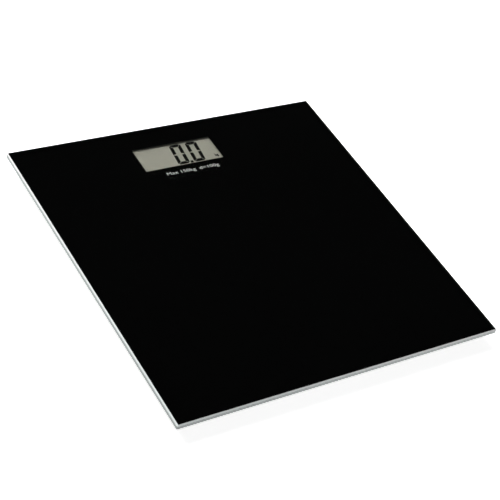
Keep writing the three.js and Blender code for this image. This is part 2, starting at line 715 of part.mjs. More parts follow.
function tactSwitch() {
  const top = BOARD_UNDERSIDE - BOND_GAP;
  const plungerTip = BUTTON_TOP + BUTTON_TRAVEL + BOND_GAP;
  const body = centredBlock(
    BUTTON_X, BUTTON_Y, SWITCH_SIZE, SWITCH_SIZE, plungerTip + SWITCH_PLUNGER, top,
  );
  const plunger = bar(BUTTON_X, BUTTON_Y, SWITCH_PLUNGER_RADIUS, plungerTip, top - JOIN_INTO);
  return carve([body, plunger]);
}

const BUTTON_TOP = COVER_TOP + BOND_GAP + BUTTON_FLANGE;

/** The unit button, held inside the cover by its flange. */
function unitButton() {
  const tip = MODULE_UNDERSIDE + BUTTON_RECESS;
  return turned([
    [0, tip],
    [BUTTON_RADIUS - BUTTON_EDGE, tip],
    [BUTTON_RADIUS, tip + BUTTON_EDGE],
    [BUTTON_RADIUS, COVER_TOP + BOND_GAP],
    [BUTTON_FLANGE_RADIUS, COVER_TOP + BOND_GAP],
    [BUTTON_FLANGE_RADIUS, BUTTON_TOP],
    [0, BUTTON_TOP],
  ], MEDIUM_SIDES).translate(BUTTON_X, BUTTON_Y, 0);
}

/** A cross-head screw that points up, with the outside of its head at z = 0. */
function crossScrew({ headRadius, headHeight, shankRadius, length }) {
  const crown = headHeight * 0.35;
  const body = turned([
    [0, 0],
    [headRadius * 0.7, 0],
    [headRadius, crown],
    [headRadius, headHeight],
    [shankRadius, headHeight],
    [shankRadius, headHeight + length - shankRadius],
    [0, headHeight + length],
  ], SMALL_SIDES);
  const arm = headRadius * 1.2;
  const cross = [[arm, CROSS_WIDTH], [CROSS_WIDTH, arm]].map(([width, depth]) => (
    centredBlock(0, 0, width, depth, -CUT_PAST, headHeight / 2)
  ));
  return carve([body], cross);
}

/** A rounded-edge coin cell: the wide can is below and its narrower lid above. */
function coinCell() {
  const radius = COIN_DIAMETER / 2;
  const lid = radius - COIN_RIM;
  return turned([
    [0, COIN_UNDERSIDE],
    [radius - COIN_EDGE, COIN_UNDERSIDE],
    [radius, COIN_UNDERSIDE + COIN_EDGE],
    [radius, COIN_TOP - COIN_LID - COIN_EDGE],
    [radius - COIN_EDGE, COIN_TOP - COIN_LID],
    [lid, COIN_TOP - COIN_LID],
    [lid - COIN_LID, COIN_TOP],
    [0, COIN_TOP],
  ]).translate(COIN_X, COIN_Y, 0);
}

/** A bent strip of even thickness, from [x, z] points along its upper side. */
function bentStrip(points, width) {
  const upper = points.map(([x, z]) => new THREE.Vector2(x, z));
  const outline = stripOutline(upper, CONTACT_THICKNESS / 2).getPoints();
  return sideCut(outline.map((point) => [point.x, point.y]), width);
}

const PAD_X = HOLDER.right + CONTACT_PAD_GAP;
const STEP_X = BOARD.right + DROP_IN + CONTACT_THICKNESS;
const PAD_Z = BOARD_TOP + BOND_GAP + CONTACT_THICKNESS / 2;

/** The side contact: a foot on the board, a bridge over the well's wall and a leg beside the cell. */
function contactPositive() {
  const leg = COIN_X - COIN_REACH + CONTACT_THICKNESS / 2 + BOND_GAP;
  const bridge = WELL_CEILING + CONTACT_THICKNESS;
  return bentStrip([
    [PAD_X, PAD_Z],
    [STEP_X, PAD_Z],
    [STEP_X, bridge],
    [leg, bridge],
    [leg, COIN_UNDERSIDE + CONTACT_HEADROOM],
  ], CONTACT_WIDTH).translate(0, POSITIVE_Y, 0);
}

/** The leaf contact: the same foot, then a leaf under the well's roof that dips to the cell's lid. */
function contactNegative() {
  const leaf = LEAF_UNDERSIDE;
  const touch = COIN_TOP + CONTACT_THICKNESS / 2 + BOND_GAP;
  return bentStrip([
    [PAD_X, PAD_Z],
    [STEP_X, PAD_Z],
    [STEP_X, leaf],
    [COIN_X - COIN_REACH + LEAF_STRAIGHT, leaf],
    [COIN_X, touch],
    [COIN_X + LEAF_TIP, touch + LEAF_LIFT],
  ], CONTACT_WIDTH).translate(0, NEGATIVE_Y, 0);
}

// ---------------------------------------------------------------- feet

/** An adhesive ring between a foot cup and the print. */
function cupAdhesive() {
  const outer = CUP_RADIUS - CUP_EDGE - ADHESIVE_INSET;
  return turnedRing(CUP_RADIUS / 2, outer, ADHESIVE_UNDERSIDE, ADHESIVE_TOP);
}

/**
 * The cup: a round shell open downwards, whose mouth has an inward lip that holds the foot in. Under
 * its roof are the rails that the load cell's frame bears on, a fence round it and two hooks. The
 * lead leaves towards local +X.
 */
function footCup() {
  const shell = turned([
    [0, CUP_ROOF_UNDERSIDE],
    [CUP_INSIDE_RADIUS, CUP_ROOF_UNDERSIDE],
    [CUP_INSIDE_RADIUS, CUP_LIP_TOP],
    [CUP_MOUTH_RADIUS, CUP_LIP_TOP],
    [CUP_MOUTH_RADIUS, CUP_RIM_HEIGHT],
    [CUP_RADIUS - CUP_EDGE, CUP_RIM_HEIGHT],
    [CUP_RADIUS, CUP_RIM_HEIGHT + CUP_EDGE],
    [CUP_RADIUS, BODY_TOP - CUP_EDGE],
    [CUP_RADIUS - CUP_EDGE, BODY_TOP],
    [0, BODY_TOP],
  ]);
  const half = LOAD_CELL_SIZE / 2;
  const roofIn = CUP_ROOF_UNDERSIDE + JOIN_INTO;
  const railTop = CUP_ROOF_UNDERSIDE - SEAT_HEIGHT;
  const railMiddle = half - SEAT_RAIL / 2 - SEAT_INSET;
  const rails = [-1, 1].map((side) => (
    centredBlock(0, side * railMiddle, LOAD_CELL_SIZE - 2 * SEAT_INSET, SEAT_RAIL, railTop, roofIn)
  ));
  const endRail = centredBlock(
    -half + LOAD_CELL_END / 2, 0,
    LOAD_CELL_END - 2 * SEAT_INSET, LOAD_CELL_SIZE - 2 * SEAT_INSET, railTop, roofIn,
  );
  const fenceMiddle = half + DROP_IN + FENCE_THICKNESS / 2;
  const fenceBottom = LOAD_CELL_UNDERSIDE - BOND_GAP - HOOK_THICKNESS;
  const fences = [-1, 1].flatMap((side) => [
    centredBlock(0, side * fenceMiddle, FENCE_LENGTH, FENCE_THICKNESS, fenceBottom, roofIn),
    centredBlock(
      0, side * (half + DROP_IN), FENCE_LENGTH / 2, 2 * HOOK_REACH,
      fenceBottom, fenceBottom + HOOK_THICKNESS,
    ),
    centredBlock(
      fenceMiddle, side * FENCE_LENGTH / 2, FENCE_THICKNESS, FENCE_LENGTH / 2, fenceBottom, roofIn,
    ),
  ]);
  const endFence = centredBlock(
    -fenceMiddle, 0, FENCE_THICKNESS, FENCE_LENGTH, fenceBottom, roofIn,
  );
  return carve([shell, ...rails, endRail, ...fences, endFence], [
    leadOpening(CUP_RADIUS, 0, 5 * CUP_WALL, LEAD_WIDTH + 2 * DROP_IN),
  ]);
}

/** The steel load cell: a square frame whose middle tongue is cut free on three sides. */
function loadCell() {
  const half = LOAD_CELL_SIZE / 2;
  const edge = { left: -half, right: half, front: -half, back: half };
  const plate = raised(roundedOutline(edge, LOAD_CELL_CORNER), LOAD_CELL_UNDERSIDE, LOAD_CELL_TOP);
  const slotLeft = -half + LOAD_CELL_END;
  const slotRight = half - LOAD_CELL_ROOT;
  const cut = (rect) => block(rect, LOAD_CELL_UNDERSIDE - CUT_PAST, LOAD_CELL_TOP + CUT_PAST);
  const inner = LOAD_CELL_TONGUE / 2;
  const outer = inner + LOAD_CELL_SLOT;
  return carve([plate], [
    cut({ left: slotLeft, right: slotLeft + LOAD_CELL_SLOT, front: -outer, back: outer }),
    cut({ left: slotLeft, right: slotRight, front: inner, back: outer }),
    cut({ left: slotLeft, right: slotRight, front: -outer, back: -inner }),
  ]);
}

/** The foot: a ribbed disc with a boss under the load cell's tongue and a flange above the cup's lip. */
function movingFoot() {
  const discBottom = SOLE_THICKNESS + BOND_GAP;
  const discTop = discBottom + FOOT_DISC;
  const soleRecess = SOLE_RADIUS + DROP_IN;
  const body = turned([
    [0, discBottom],
    [soleRecess, discBottom],
    [soleRecess, SOLE_PROUD],
    [FOOT_RADIUS - FOOT_EDGE, SOLE_PROUD],
    [FOOT_RADIUS, SOLE_PROUD + FOOT_EDGE],
    [FOOT_RADIUS, FOOT_FLANGE_UNDERSIDE],
    [FOOT_FLANGE_RADIUS, FOOT_FLANGE_UNDERSIDE],
    [FOOT_FLANGE_RADIUS, FOOT_FLANGE_TOP],
    [FOOT_RADIUS - FOOT_WALL, FOOT_FLANGE_TOP],
    [FOOT_RADIUS - FOOT_WALL, discTop],
    [FOOT_BOSS_RADIUS + FOOT_EDGE, discTop],
    [FOOT_BOSS_RADIUS, discTop + FOOT_EDGE],
    [FOOT_BOSS_RADIUS, FOOT_BOSS_TOP - FOOT_EDGE],
    [FOOT_BOSS_RADIUS - FOOT_EDGE, FOOT_BOSS_TOP],
    [0, FOOT_BOSS_TOP],
  ]);
  const ribLength = FOOT_RADIUS - FOOT_WALL / 2;
  const ribs = Array.from({ length: FOOT_RIBS }, (_, i) => centredBlock(
    ribLength / 2, 0, ribLength, FOOT_RIB_THICKNESS,
    discTop - JOIN_INTO, FOOT_FLANGE_TOP - FOOT_RIB_BELOW_FLANGE,
  ).rotateZ((2 * Math.PI * (i + 0.5)) / FOOT_RIBS));
  return carve([body, ...ribs]);
}

/** The rubber sole: a disc with a softened rim, one ring groove and a hollow in the middle. */
function footSole() {
  return turned([
    [0, SOLE_GROOVE],
    [SOLE_HOLLOW_RADIUS, SOLE_GROOVE],
    [SOLE_HOLLOW_RADIUS + SOLE_GROOVE, 0],
    [SOLE_GROOVE_RADIUS, 0],
    [SOLE_GROOVE_RADIUS + SOLE_GROOVE, SOLE_GROOVE],
    [SOLE_GROOVE_RADIUS + 3 * SOLE_GROOVE, SOLE_GROOVE],
    [SOLE_GROOVE_RADIUS + 4 * SOLE_GROOVE, 0],
    [SOLE_RADIUS - SOLE_GROOVE, 0],
    [SOLE_RADIUS, SOLE_GROOVE],
    [SOLE_RADIUS, SOLE_THICKNESS],
    [0, SOLE_THICKNESS],
  ]);
}

// ---------------------------------------------------------------- leads

function footCentre(corner) {
  const [sideX, sideY] = FEET[corner];
  return new THREE.Vector2(
    sideX * (PLATE_WIDTH / 2 - FOOT_INSET),
    sideY * (PLATE_DEPTH / 2 - FOOT_INSET),
  );
}

/** The plan route of each lead, from the middle of its foot to the outside of the module's wall. */
const LANE_Y = HOUSING.front - LANE_TO_MODULE;
const REAR_RIGHT_LANE_Y = Math.min(
  LANE_Y,
  footCentre('rear_right').y - CUP_RADIUS - LEAD_BEND_RADIUS - CUP_TO_BEND,
);
const ROUTES = {
  front_left: [
    footCentre('front_left'),
    new THREE.Vector2(FRONT_LEFT_ENTRY, LANE_Y),
    new THREE.Vector2(FRONT_LEFT_ENTRY, HOUSING.front),
  ],
  front_right: [
    footCentre('front_right'),
    new THREE.Vector2(FRONT_RIGHT_ENTRY, HOUSING.front - FRONT_RIGHT_LANE),
    new THREE.Vector2(FRONT_RIGHT_ENTRY, HOUSING.front),
  ],
  rear_left: [
    footCentre('rear_left'),
    new THREE.Vector2(HOUSING.left - REAR_LEFT_BEND, REAR_LEFT_ENTRY),
    new THREE.Vector2(HOUSING.left, REAR_LEFT_ENTRY),
  ],
  rear_right: [
    footCentre('rear_right'),
    new THREE.Vector2(footCentre('rear_right').x, REAR_RIGHT_LANE_Y),
    new THREE.Vector2(REAR_RIGHT_ENTRY, REAR_RIGHT_LANE_Y),
    new THREE.Vector2(REAR_RIGHT_ENTRY, HOUSING.front),
  ],
};

/** The angle at which a lead leaves its foot, about +Z from +X. */
function exitAngle(corner) {
  const [start, next] = ROUTES[corner];
  return next.clone().sub(start).angle();
}

/** A flat three-core lead: along its route, through the module's wall and down to the board. */
function lead(corner) {
  const points = rounded(ROUTES[corner], LEAD_BEND_RADIUS);
  const end = points[points.length - 1];
  const along = end.clone().sub(points[points.length - 2]).angle();
  const level = strip(trimmed(points, LEAD_START, -JOIN_INTO), LEAD_WIDTH, LEAD_UNDERSIDE, LEAD_TOP);
  const padBottom = BOARD_TOP + BOND_GAP;
  const padTop = padBottom + LEAD_THICKNESS;
  const bend = HOUSING_WALL + BOARD_TO_WALL;
  const foot = bend + LEAD_SLOPE;
  const drop = sideCut([
    [-JOIN_INTO, LEAD_UNDERSIDE],
    [bend, LEAD_UNDERSIDE],
    [foot, padBottom],
    [foot + LEAD_PAD, padBottom],
    [foot + LEAD_PAD, padTop],
    [foot + LEAD_THICKNESS / 2, padTop],
    [bend + LEAD_THICKNESS / 2, LEAD_TOP],
    [-JOIN_INTO, LEAD_TOP],
  ], LEAD_WIDTH).rotateZ(along).translate(end.x, end.y, 0);
  return carve([level, drop]);
}

/** The plastic channel over a lead, open towards the print, with a flange along each side. */
function wireCover(corner) {
  const points = trimmed(rounded(ROUTES[corner], LEAD_BEND_RADIUS), CUP_RADIUS + DROP_IN, DROP_IN);
  const inside = LEAD_WIDTH + 2 * DROP_IN;
  const outside = inside + 2 * COVER_WALL;
  const floor = LEAD_UNDERSIDE - DROP_IN;
  const flange = strip(
    points, outside + 2 * COVER_FLANGE, ADHESIVE_TOP - COVER_FLANGE_THICKNESS, ADHESIVE_TOP,
  );
  const channel = strip(points, outside, floor - COVER_FLOOR, ADHESIVE_TOP);
  const hollow = strip(
    trimmed(points, -CUT_PAST, -CUT_PAST), inside, floor, ADHESIVE_TOP + CUT_PAST,
  );
  return carve([flange, channel], [hollow]);
}

// ---------------------------------------------------------------- finishes and the scene graph

const FINISHES = {
  floatGlass: { color: 0xa9c4bd, roughness: 0.05, metalness: 0, transparent: true, opacity: 0.35 },
  blackInk: { color: 0x050505, roughness: 0.3, metalness: 0 },
  blackFoam: { color: 0x141414, roughness: 0.9, metalness: 0 },
  blackPlastic: { color: 0x1a1a1c, roughness: 0.55, metalness: 0 },
  whitePlastic: { color: 0xd9d9d4, roughness: 0.5, metalness: 0 },
  rubber: { color: 0x2a2a2b, roughness: 0.85, metalness: 0 },
  lcdGlass: { color: 0x92968a, roughness: 0.2, metalness: 0 },
  zebraRubber: { color: 0xc9c6c0, roughness: 0.7, metalness: 0 },
  boardGreen: { color: 0x1f5a34, roughness: 0.45, metalness: 0 },
  blackResin: { color: 0x0c0c0d, roughness: 0.35, metalness: 0 },
  zincSteel: { color: 0xa8a9ab, roughness: 0.35, metalness: 1 },
  nickel: { color: 0xc4c0b6, roughness: 0.25, metalness: 1 },
  leadGrey: { color: 0x8d8f92, roughness: 0.5, metalness: 0 },
  adhesiveWhite: { color: 0xc8c8c4, roughness: 0.8, metalness: 0 },
};

function piece(name, geometry, finish) {
  const material = new THREE.MeshStandardMaterial({ ...FINISHES[finish], flatShading: true });
  const mesh = new THREE.Mesh(geometry, material);
  mesh.name = name;
  return mesh;
}

function platformGroup() {
  const group = new THREE.Group();
  group.add(piece('glass_platform', glassPlatform(), 'floatGlass'));
  group.add(piece('black_print', blackPrint(), 'blackInk'));
  return group;
}

function moduleGroup() {
  const group = new THREE.Group();
  group.add(piece('display_gasket', displayGasket(), 'blackFoam'));
  group.add(piece('module_housing', moduleHousing(), 'blackPlastic'));
  group.add(piece('module_cover', moduleCover(), 'blackPlastic'));
  group.add(piece('battery_door', batteryDoor(), 'blackPlastic'));
  group.add(piece('lcd_panel', lcdPanel(), 'lcdGlass'));
  group.add(piece('lcd_holder', lcdHolder(), 'whitePlastic'));
  group.add(piece('zebra_strip', zebraStrip(), 'zebraRubber'));
  group.add(piece('circuit_board', circuitBoard(), 'boardGreen'));
  group.add(piece('chip_resin', resinBlob(), 'blackResin'));
  group.add(piece('unit_switch', tactSwitch(), 'blackPlastic'));
  group.add(piece('unit_button', unitButton(), 'rubber'));
  group.add(piece('coin_cell', coinCell(), 'zincSteel'));
  group.add(piece('contact_positive', contactPositive(), 'nickel'));
  group.add(piece('contact_negative', contactNegative(), 'nickel'));
  const coverHead = COUNTERBORE_DEPTH - COVER_SCREW.headHeight - BOND_GAP;
  Object.entries(COVER_SCREW_PLACES).forEach(([corner, [x, y]]) => {
    const screw = piece(`cover_screw_${corner}`, crossScrew(COVER_SCREW), 'zincSteel');
    screw.position.set(x, y, MODULE_UNDERSIDE + coverHead);
    group.add(screw);
  });
  Object.entries(BOARD_SCREW_PLACES).forEach(([place, [x, y]]) => {
    const screw = piece(`board_screw_${place}`, crossScrew(BOARD_SCREW), 'zincSteel');
    screw.position.set(x, y, BOARD_UNDERSIDE - BOND_GAP - BOARD_SCREW.headHeight);
    group.add(screw);
  });
  return group;
}

/** One foot unit, turned so that its lead leaves along its route. */
function footGroup(corner) {
  const group = new THREE.Group();
  group.add(piece(`cup_adhesive_${corner}`, cupAdhesive(), 'adhesiveWhite'));
  group.add(piece(`foot_cup_${corner}`, footCup(), 'blackPlastic'));
  group.add(piece(`load_cell_${corner}`, loadCell(), 'zincSteel'));
  group.add(piece(`foot_${corner}`, movingFoot(), 'blackPlastic'));
  group.add(piece(`sole_${corner}`, footSole(), 'rubber'));
  const { x, y } = footCentre(corner);
  group.position.set(x, y, 0);
  group.rotation.z = exitAngle(corner);
  return group;
}

function leadGroup(corner) {
  const group = new THREE.Group();
  group.add(piece(`lead_${corner}`, lead(corner), 'leadGrey'));
  group.add(piece(`wire_cover_${corner}`, wireCover(corner), 'blackPlastic'));
  return group;
}

const bathroomScale = new THREE.Group();
bathroomScale.add(platformGroup());
bathroomScale.add(moduleGroup());
Object.keys(FEET).forEach((corner) => {
  bathroomScale.add(footGroup(corner));
  bathroomScale.add(leadGroup(corner));
});

export default bathroomScale;
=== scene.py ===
"""Digital bathroom scale: the looks of its glass, display, mouldings, feet and wiring.

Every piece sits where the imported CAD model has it, in metres, with +Z up and the display's edge
towards +Y. Sizes and colours that a user may change are properties in the sidebar.
"""

import json
import math

import bmesh
import bpy
import numpy as np
from bpy.props import (
    FloatProperty, FloatVectorProperty, IntProperty, PointerProperty, StringProperty)
from mathutils import Matrix, Vector

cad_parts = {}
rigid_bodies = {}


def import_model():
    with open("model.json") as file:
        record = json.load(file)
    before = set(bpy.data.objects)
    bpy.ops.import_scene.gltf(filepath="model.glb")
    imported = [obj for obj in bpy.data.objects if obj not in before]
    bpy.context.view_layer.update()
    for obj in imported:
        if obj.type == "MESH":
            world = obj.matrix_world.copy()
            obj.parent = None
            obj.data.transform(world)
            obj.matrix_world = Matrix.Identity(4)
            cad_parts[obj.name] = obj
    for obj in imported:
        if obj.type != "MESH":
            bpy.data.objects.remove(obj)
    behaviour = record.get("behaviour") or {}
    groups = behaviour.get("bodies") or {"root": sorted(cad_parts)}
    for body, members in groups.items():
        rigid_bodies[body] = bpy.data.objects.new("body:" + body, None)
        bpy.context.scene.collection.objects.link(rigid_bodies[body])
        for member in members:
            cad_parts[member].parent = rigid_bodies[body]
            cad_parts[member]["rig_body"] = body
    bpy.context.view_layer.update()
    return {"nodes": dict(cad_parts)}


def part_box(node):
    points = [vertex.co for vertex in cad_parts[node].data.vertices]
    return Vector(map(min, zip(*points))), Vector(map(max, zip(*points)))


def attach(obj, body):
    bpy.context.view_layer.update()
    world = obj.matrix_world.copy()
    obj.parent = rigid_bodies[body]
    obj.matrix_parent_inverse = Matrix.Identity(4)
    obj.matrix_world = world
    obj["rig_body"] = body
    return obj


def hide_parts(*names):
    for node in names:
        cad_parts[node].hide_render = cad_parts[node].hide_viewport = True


bl_info = {
    "name": "Bathroom Scale",
    "version": (1, 0, 0),
    "blender": (4, 5, 0),
    "location": "3D View > Sidebar > Scale",
    "description": "Builds the visible pieces of a digital bathroom scale around its CAD frame",
    "category": "Object",
}

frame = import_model()

MM = 0.001
CORNERS = ("front_left", "front_right", "rear_left", "rear_right")
COVER_SCREWS = tuple(f"cover_screw_{place}" for place in (
    "front_left", "back_left", "front_right", "back_right"))
BOARD_SCREWS = tuple(f"board_screw_{place}" for place in ("front", "left", "back"))

GLASS_LOW, GLASS_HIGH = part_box("glass_platform")
PRINT_LOW, PRINT_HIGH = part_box("black_print")
LCD_LOW, LCD_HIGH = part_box("lcd_panel")

# The lowest and highest point of a thin ink or film, over the face under it
SKIN = 0.01 * MM
SKIN_TOP = 3 * SKIN

# Points closer than this are one, in lettering and in a merged copy of a CAD node
LETTER_WELD = 0.0005 * MM
NODE_WELD = 0.002 * MM
# Faces of a merged copy that turn less than this are one flat face
FLAT_ANGLE = math.radians(0.5)
# Edges sharper than these get a bevel, break the smooth shading, or do so on the glass plate
BEVEL_ANGLE = math.radians(35)
SHARP_ANGLE = math.radians(32)
PLATE_SHARP_ANGLE = math.radians(20)
BEVEL_SEGMENTS = 2

# The plate's rim, in arrises: the ground margin under the plate and the softening of its bevels
MARGIN = 1.2
SOFTENING = 0.12
# How much flatter a softened edge is on the plate's faces than on its bevel
SOFT_LIFT = 0.4
# The ground edge's painted shading, as its tone at the front left corner and beyond the corners
# beside it, and its tone in streaks
CORNER_PAINTED_SHADE, FAR_PAINTED_LIGHT, STREAK_TONE = 0.92, 1.3, 0.8
# The upper share of the ink's thickness that wets the glass
WETTED = 0.2
# The share of the print's half width and depth inside which its only points are the window's
WINDOW_SEARCH_X, WINDOW_SEARCH_Y = 0.5, 0.95

DIGITS = 2
# The decimal point: its side in strokes, and its place back and down from the second digit
POINT_SIDE = 0.8
POINT_BACK, POINT_DOWN = 3.7 * MM, 0.2 * MM
# A segment's inner corner at a digit's waist stands back by the stroke divided by this
WAIST = 5
# How much bolder than the plain font the unit is, and the points along each curve of a letter
UNIT_WEIGHT = 0.05
LETTER_STEPS = 3

HOLDER_PLASTIC = (0.68, 0.68, 0.64)
SWITCH_PLASTIC = (0.03, 0.03, 0.03)
GASKET_FOAM = (0.02, 0.02, 0.02)
CELL_STEEL = (0.66, 0.65, 0.63)
GAUGE_STEEL = (0.5, 0.5, 0.5)
NICKEL = (0.72, 0.68, 0.6)
ZINC = (0.58, 0.59, 0.6)
DUST = (0.16, 0.155, 0.15)
# How much darker the key's rubber is than the soles'
BUTTON_TONE = 0.7

# The camera's frame width in millimetres
FRAME_WIDTH = 36.0
# The world's strength fades from the first to the second, between two heights of the view
HORIZON_HEIGHT, HORIZON_STRENGTH = 0.02, 0.9
CEILING_HEIGHT, CEILING_STRENGTH = 0.2, 0.008


# ---------------------------------------------------------------- sizes and colours


class SCALE_PG_platform(bpy.types.PropertyGroup):
    """The glass plate and the ink under it."""

    arris: FloatProperty(
        name="Arris", description="Width of the ground bevel along each edge of the glass",
        default=1.0 * MM, min=0.0, unit="LENGTH")
    corner_radius: FloatProperty(
        name="Corner radius", description="Radius of the plate's corners in plan",
        default=1.5 * MM, min=0.0, unit="LENGTH")
    corner_steps: IntProperty(
        name="Corner steps", description="Points along each rounded corner", default=8, min=2)
    tint: FloatVectorProperty(
        name="Glass tint", description="Colour of the clear glass", subtype="COLOR",
        default=(0.93, 0.985, 0.965), min=0.0, max=1.0)
    # The ground edge's colour is painted shade: the arris's frosted glass, darkened to the shade
    # the upright edge stands in
    ground: FloatVectorProperty(
        name="Ground edge", description="Colour of the ground edge of the glass", subtype="COLOR",
        default=(0.295, 0.325, 0.318), min=0.0, max=1.0)
    arris_colour: FloatVectorProperty(
        name="Arris colour", description="Colour of the ground bevel", subtype="COLOR",
        default=(0.90, 0.955, 0.945), min=0.0, max=1.0)
    ink: FloatVectorProperty(
        name="Ink", description="Colour of the print under the glass", subtype="COLOR",
        default=(0.0004, 0.0004, 0.0004), min=0.0, max=1.0)
    legend: StringProperty(
        name="Legend", description="Small print below the window", default="Max 150kg  d=100g")
    legend_width: FloatProperty(
        name="Legend width", description="Length of the small print", default=51 * MM,
        unit="LENGTH")
    legend_height: FloatProperty(
        name="Legend height", description="Height of its capitals", default=3.3 * MM,
        unit="LENGTH")
    legend_drop: FloatProperty(
        name="Legend drop", description="From the window's front edge to the small print's base",
        default=9.0 * MM, unit="LENGTH")
    legend_shift: FloatProperty(
        name="Legend shift", description="From the window's middle to the small print's middle",
        default=3.5 * MM, unit="LENGTH")
    legend_colour: FloatVectorProperty(
        name="Legend colour", description="Colour of the small print", subtype="COLOR",
        default=(0.44, 0.42, 0.41), min=0.0, max=1.0)


class SCALE_PG_display(bpy.types.PropertyGroup):
    """The liquid crystal display and its digits."""

    digit_width: FloatProperty(
        name="Digit width", description="Width of one digit", default=11.4 * MM, unit="LENGTH")
    digit_height: FloatProperty(
        name="Digit height", description="Height of one digit", default=24.8 * MM,
        unit="LENGTH")
    digit_pitch: FloatProperty(
        name="Digit pitch", description="From one digit to the next", default=15.8 * MM,
        unit="LENGTH")
    stroke: FloatProperty(
        name="Stroke", description="Thickness of a segment", default=3.4 * MM, unit="LENGTH")
    gap: FloatProperty(
        name="Gap", description="Space between two segments", default=0.4 * MM, unit="LENGTH")
    chamfer: FloatProperty(
        name="Chamfer", description="How much is cut off each outer corner of a digit",
        default=1.8 * MM, unit="LENGTH")
    slant: FloatProperty(
        name="Slant", description="How far the digits lean to the right",
        default=math.radians(5.8), subtype="ANGLE")
    first_digit: FloatVectorProperty(
        name="First digit", description="Its lower left corner, from the panel's middle", size=2,
        default=(-4.6 * MM, -10.5 * MM), unit="LENGTH")
    unit: StringProperty(name="Unit", description="The unit shown", default="kg")
    unit_width: FloatProperty(
        name="Unit width", description="Width of the unit", default=3.6 * MM, unit="LENGTH")
    unit_height: FloatProperty(
        name="Unit height", description="Height of the unit's tall letter", default=2.8 * MM,
        unit="LENGTH")
    unit_place: FloatVectorProperty(
        name="Unit place", description="Its lower left corner, from the panel's middle", size=2,
        default=(33.4 * MM, -8.2 * MM), unit="LENGTH")
    face: FloatVectorProperty(
        name="Face", description="Colour of the display where no segment is on", subtype="COLOR",
        default=(0.230, 0.210, 0.178), min=0.0, max=1.0)
    segment: FloatVectorProperty(
        name="Segment", description="Colour of a segment that is on", subtype="COLOR",
        default=(0.003, 0.0032, 0.003), min=0.0, max=1.0)


class SCALE_PG_mouldings(bpy.types.PropertyGroup):
    """The plastic and rubber pieces."""

    edge: FloatProperty(
        name="Edge radius", description="Radius along the edges of the mouldings",
        default=0.25 * MM, min=0.0, unit="LENGTH")
    small_edge: FloatProperty(
        name="Small edge radius", description="Radius along the edges of the finer pieces",
        default=0.12 * MM, min=0.0, unit="LENGTH")
    grain: FloatProperty(
        name="Grain", description="Size of the moulded texture", default=0.5 * MM,
        unit="LENGTH")
    plastic: FloatVectorProperty(
        name="Plastic", description="Colour of the black plastic", subtype="COLOR",
        default=(0.016, 0.016, 0.017), min=0.0, max=1.0)
    rubber: FloatVectorProperty(
        name="Rubber", description="Colour of the soles", subtype="COLOR",
        default=(0.045, 0.045, 0.047), min=0.0, max=1.0)


class SCALE_PG_studio(bpy.types.PropertyGroup):
    """The camera, the lights and the floor."""

    azimuth: FloatProperty(
        name="Azimuth", description="Where the camera stands round the scale",
        default=math.radians(-43.11), subtype="ANGLE")
    elevation: FloatProperty(
        name="Elevation", description="How far the camera looks down",
        default=math.radians(41.56), subtype="ANGLE")
    roll: FloatProperty(
        name="Roll", description="How far the camera leans", default=math.radians(-18.55),
        subtype="ANGLE")
    distance: FloatProperty(
        name="Distance", description="From the camera to what it looks at", default=1.1416,
        unit="LENGTH")
    aim: FloatVectorProperty(
        name="Aim", description="The point that the camera looks at", size=3,
        default=(-6.35 * MM, -9.36 * MM, 22.0 * MM), unit="LENGTH")
    lens: FloatProperty(
        name="Lens", description="Focal length in millimetres on a 36 mm wide frame",
        default=101.89)
    floor: FloatVectorProperty(
        name="Floor", description="Colour of the floor", subtype="COLOR",
        default=(0.9, 0.9, 0.9), min=0.0, max=1.0)
    glow: FloatProperty(
        name="Glow", description="How much the floor glows, as on a light table", default=1.0,
        min=0.0)
    key_power: FloatProperty(
        name="Key light", description="Power of the large soft light, in watts", default=40.0)
    key_azimuth: FloatProperty(
        name="Key azimuth", description="Where the light stands round the scale",
        default=math.radians(-135), subtype="ANGLE")
    key_elevation: FloatProperty(
        name="Key elevation", description="How high the light stands", default=math.radians(60),
        subtype="ANGLE")
    key_size: FloatProperty(
        name="Key size", description="Side of the light's square", default=1.0, unit="LENGTH")
    key_distance: FloatProperty(
        name="Key distance", description="From the light to the scale", default=2.2,
        unit="LENGTH")


# ---------------------------------------------------------------- shader maths


class Value:
    """A shader socket. Python's operators on it add Math nodes to its node tree."""

    def __init__(self, nodes, socket):
        self.nodes = nodes
        self.socket = socket

    def _math(self, operation, *operands):
        sockets = dict(enumerate(operands))
        return self.nodes.add("ShaderNodeMath", {"operation": operation}, sockets)

    def __add__(self, other):
        return self._math("ADD", self, other)

    def __radd__(self, other):
        return self._math("ADD", other, self)

    def __sub__(self, other):
        return self._math("SUBTRACT", self, other)

    def __rsub__(self, other):
        return self._math("SUBTRACT", other, self)

    def __mul__(self, other):
        return self._math("MULTIPLY", self, other)

    def __rmul__(self, other):
        return self._math("MULTIPLY", other, self)

    def above(self, edge):
        """1 where the value is over the edge, else 0."""
        return self._math("GREATER_THAN", self, edge)

    def sine(self):
        """The sine of the value, in radians."""
        return self._math("SINE", self)

    def ramp(self, low, high, start=0.0, end=1.0):
        """start below low, end above high, and a smooth step between them."""
        return self.nodes.add(
            "ShaderNodeMapRange",
            {"interpolation_type": "SMOOTHSTEP"},
            {"Value": self, "From Min": low, "From Max": high, "To Min": start, "To Max": end},
        )


class Nodes:
    """The nodes of a material or of the world, from an empty tree."""

    def __init__(self, tree):
        self.tree = tree
        self.tree.nodes.clear()

    def add(self, kind, settings=None, sockets=None, output=0):
        """A node of the given type: its settings first, then its sockets' values or links."""
        node = self.tree.nodes.new(kind)
        for name, value in (settings or {}).items():
            setattr(node, name, value)
        for key, value in (sockets or {}).items():
            if isinstance(value, Value):
                self.tree.links.new(value.socket, node.inputs[key])
            else:
                node.inputs[key].default_value = value
        return Value(self, node.outputs[output]) if node.outputs else None


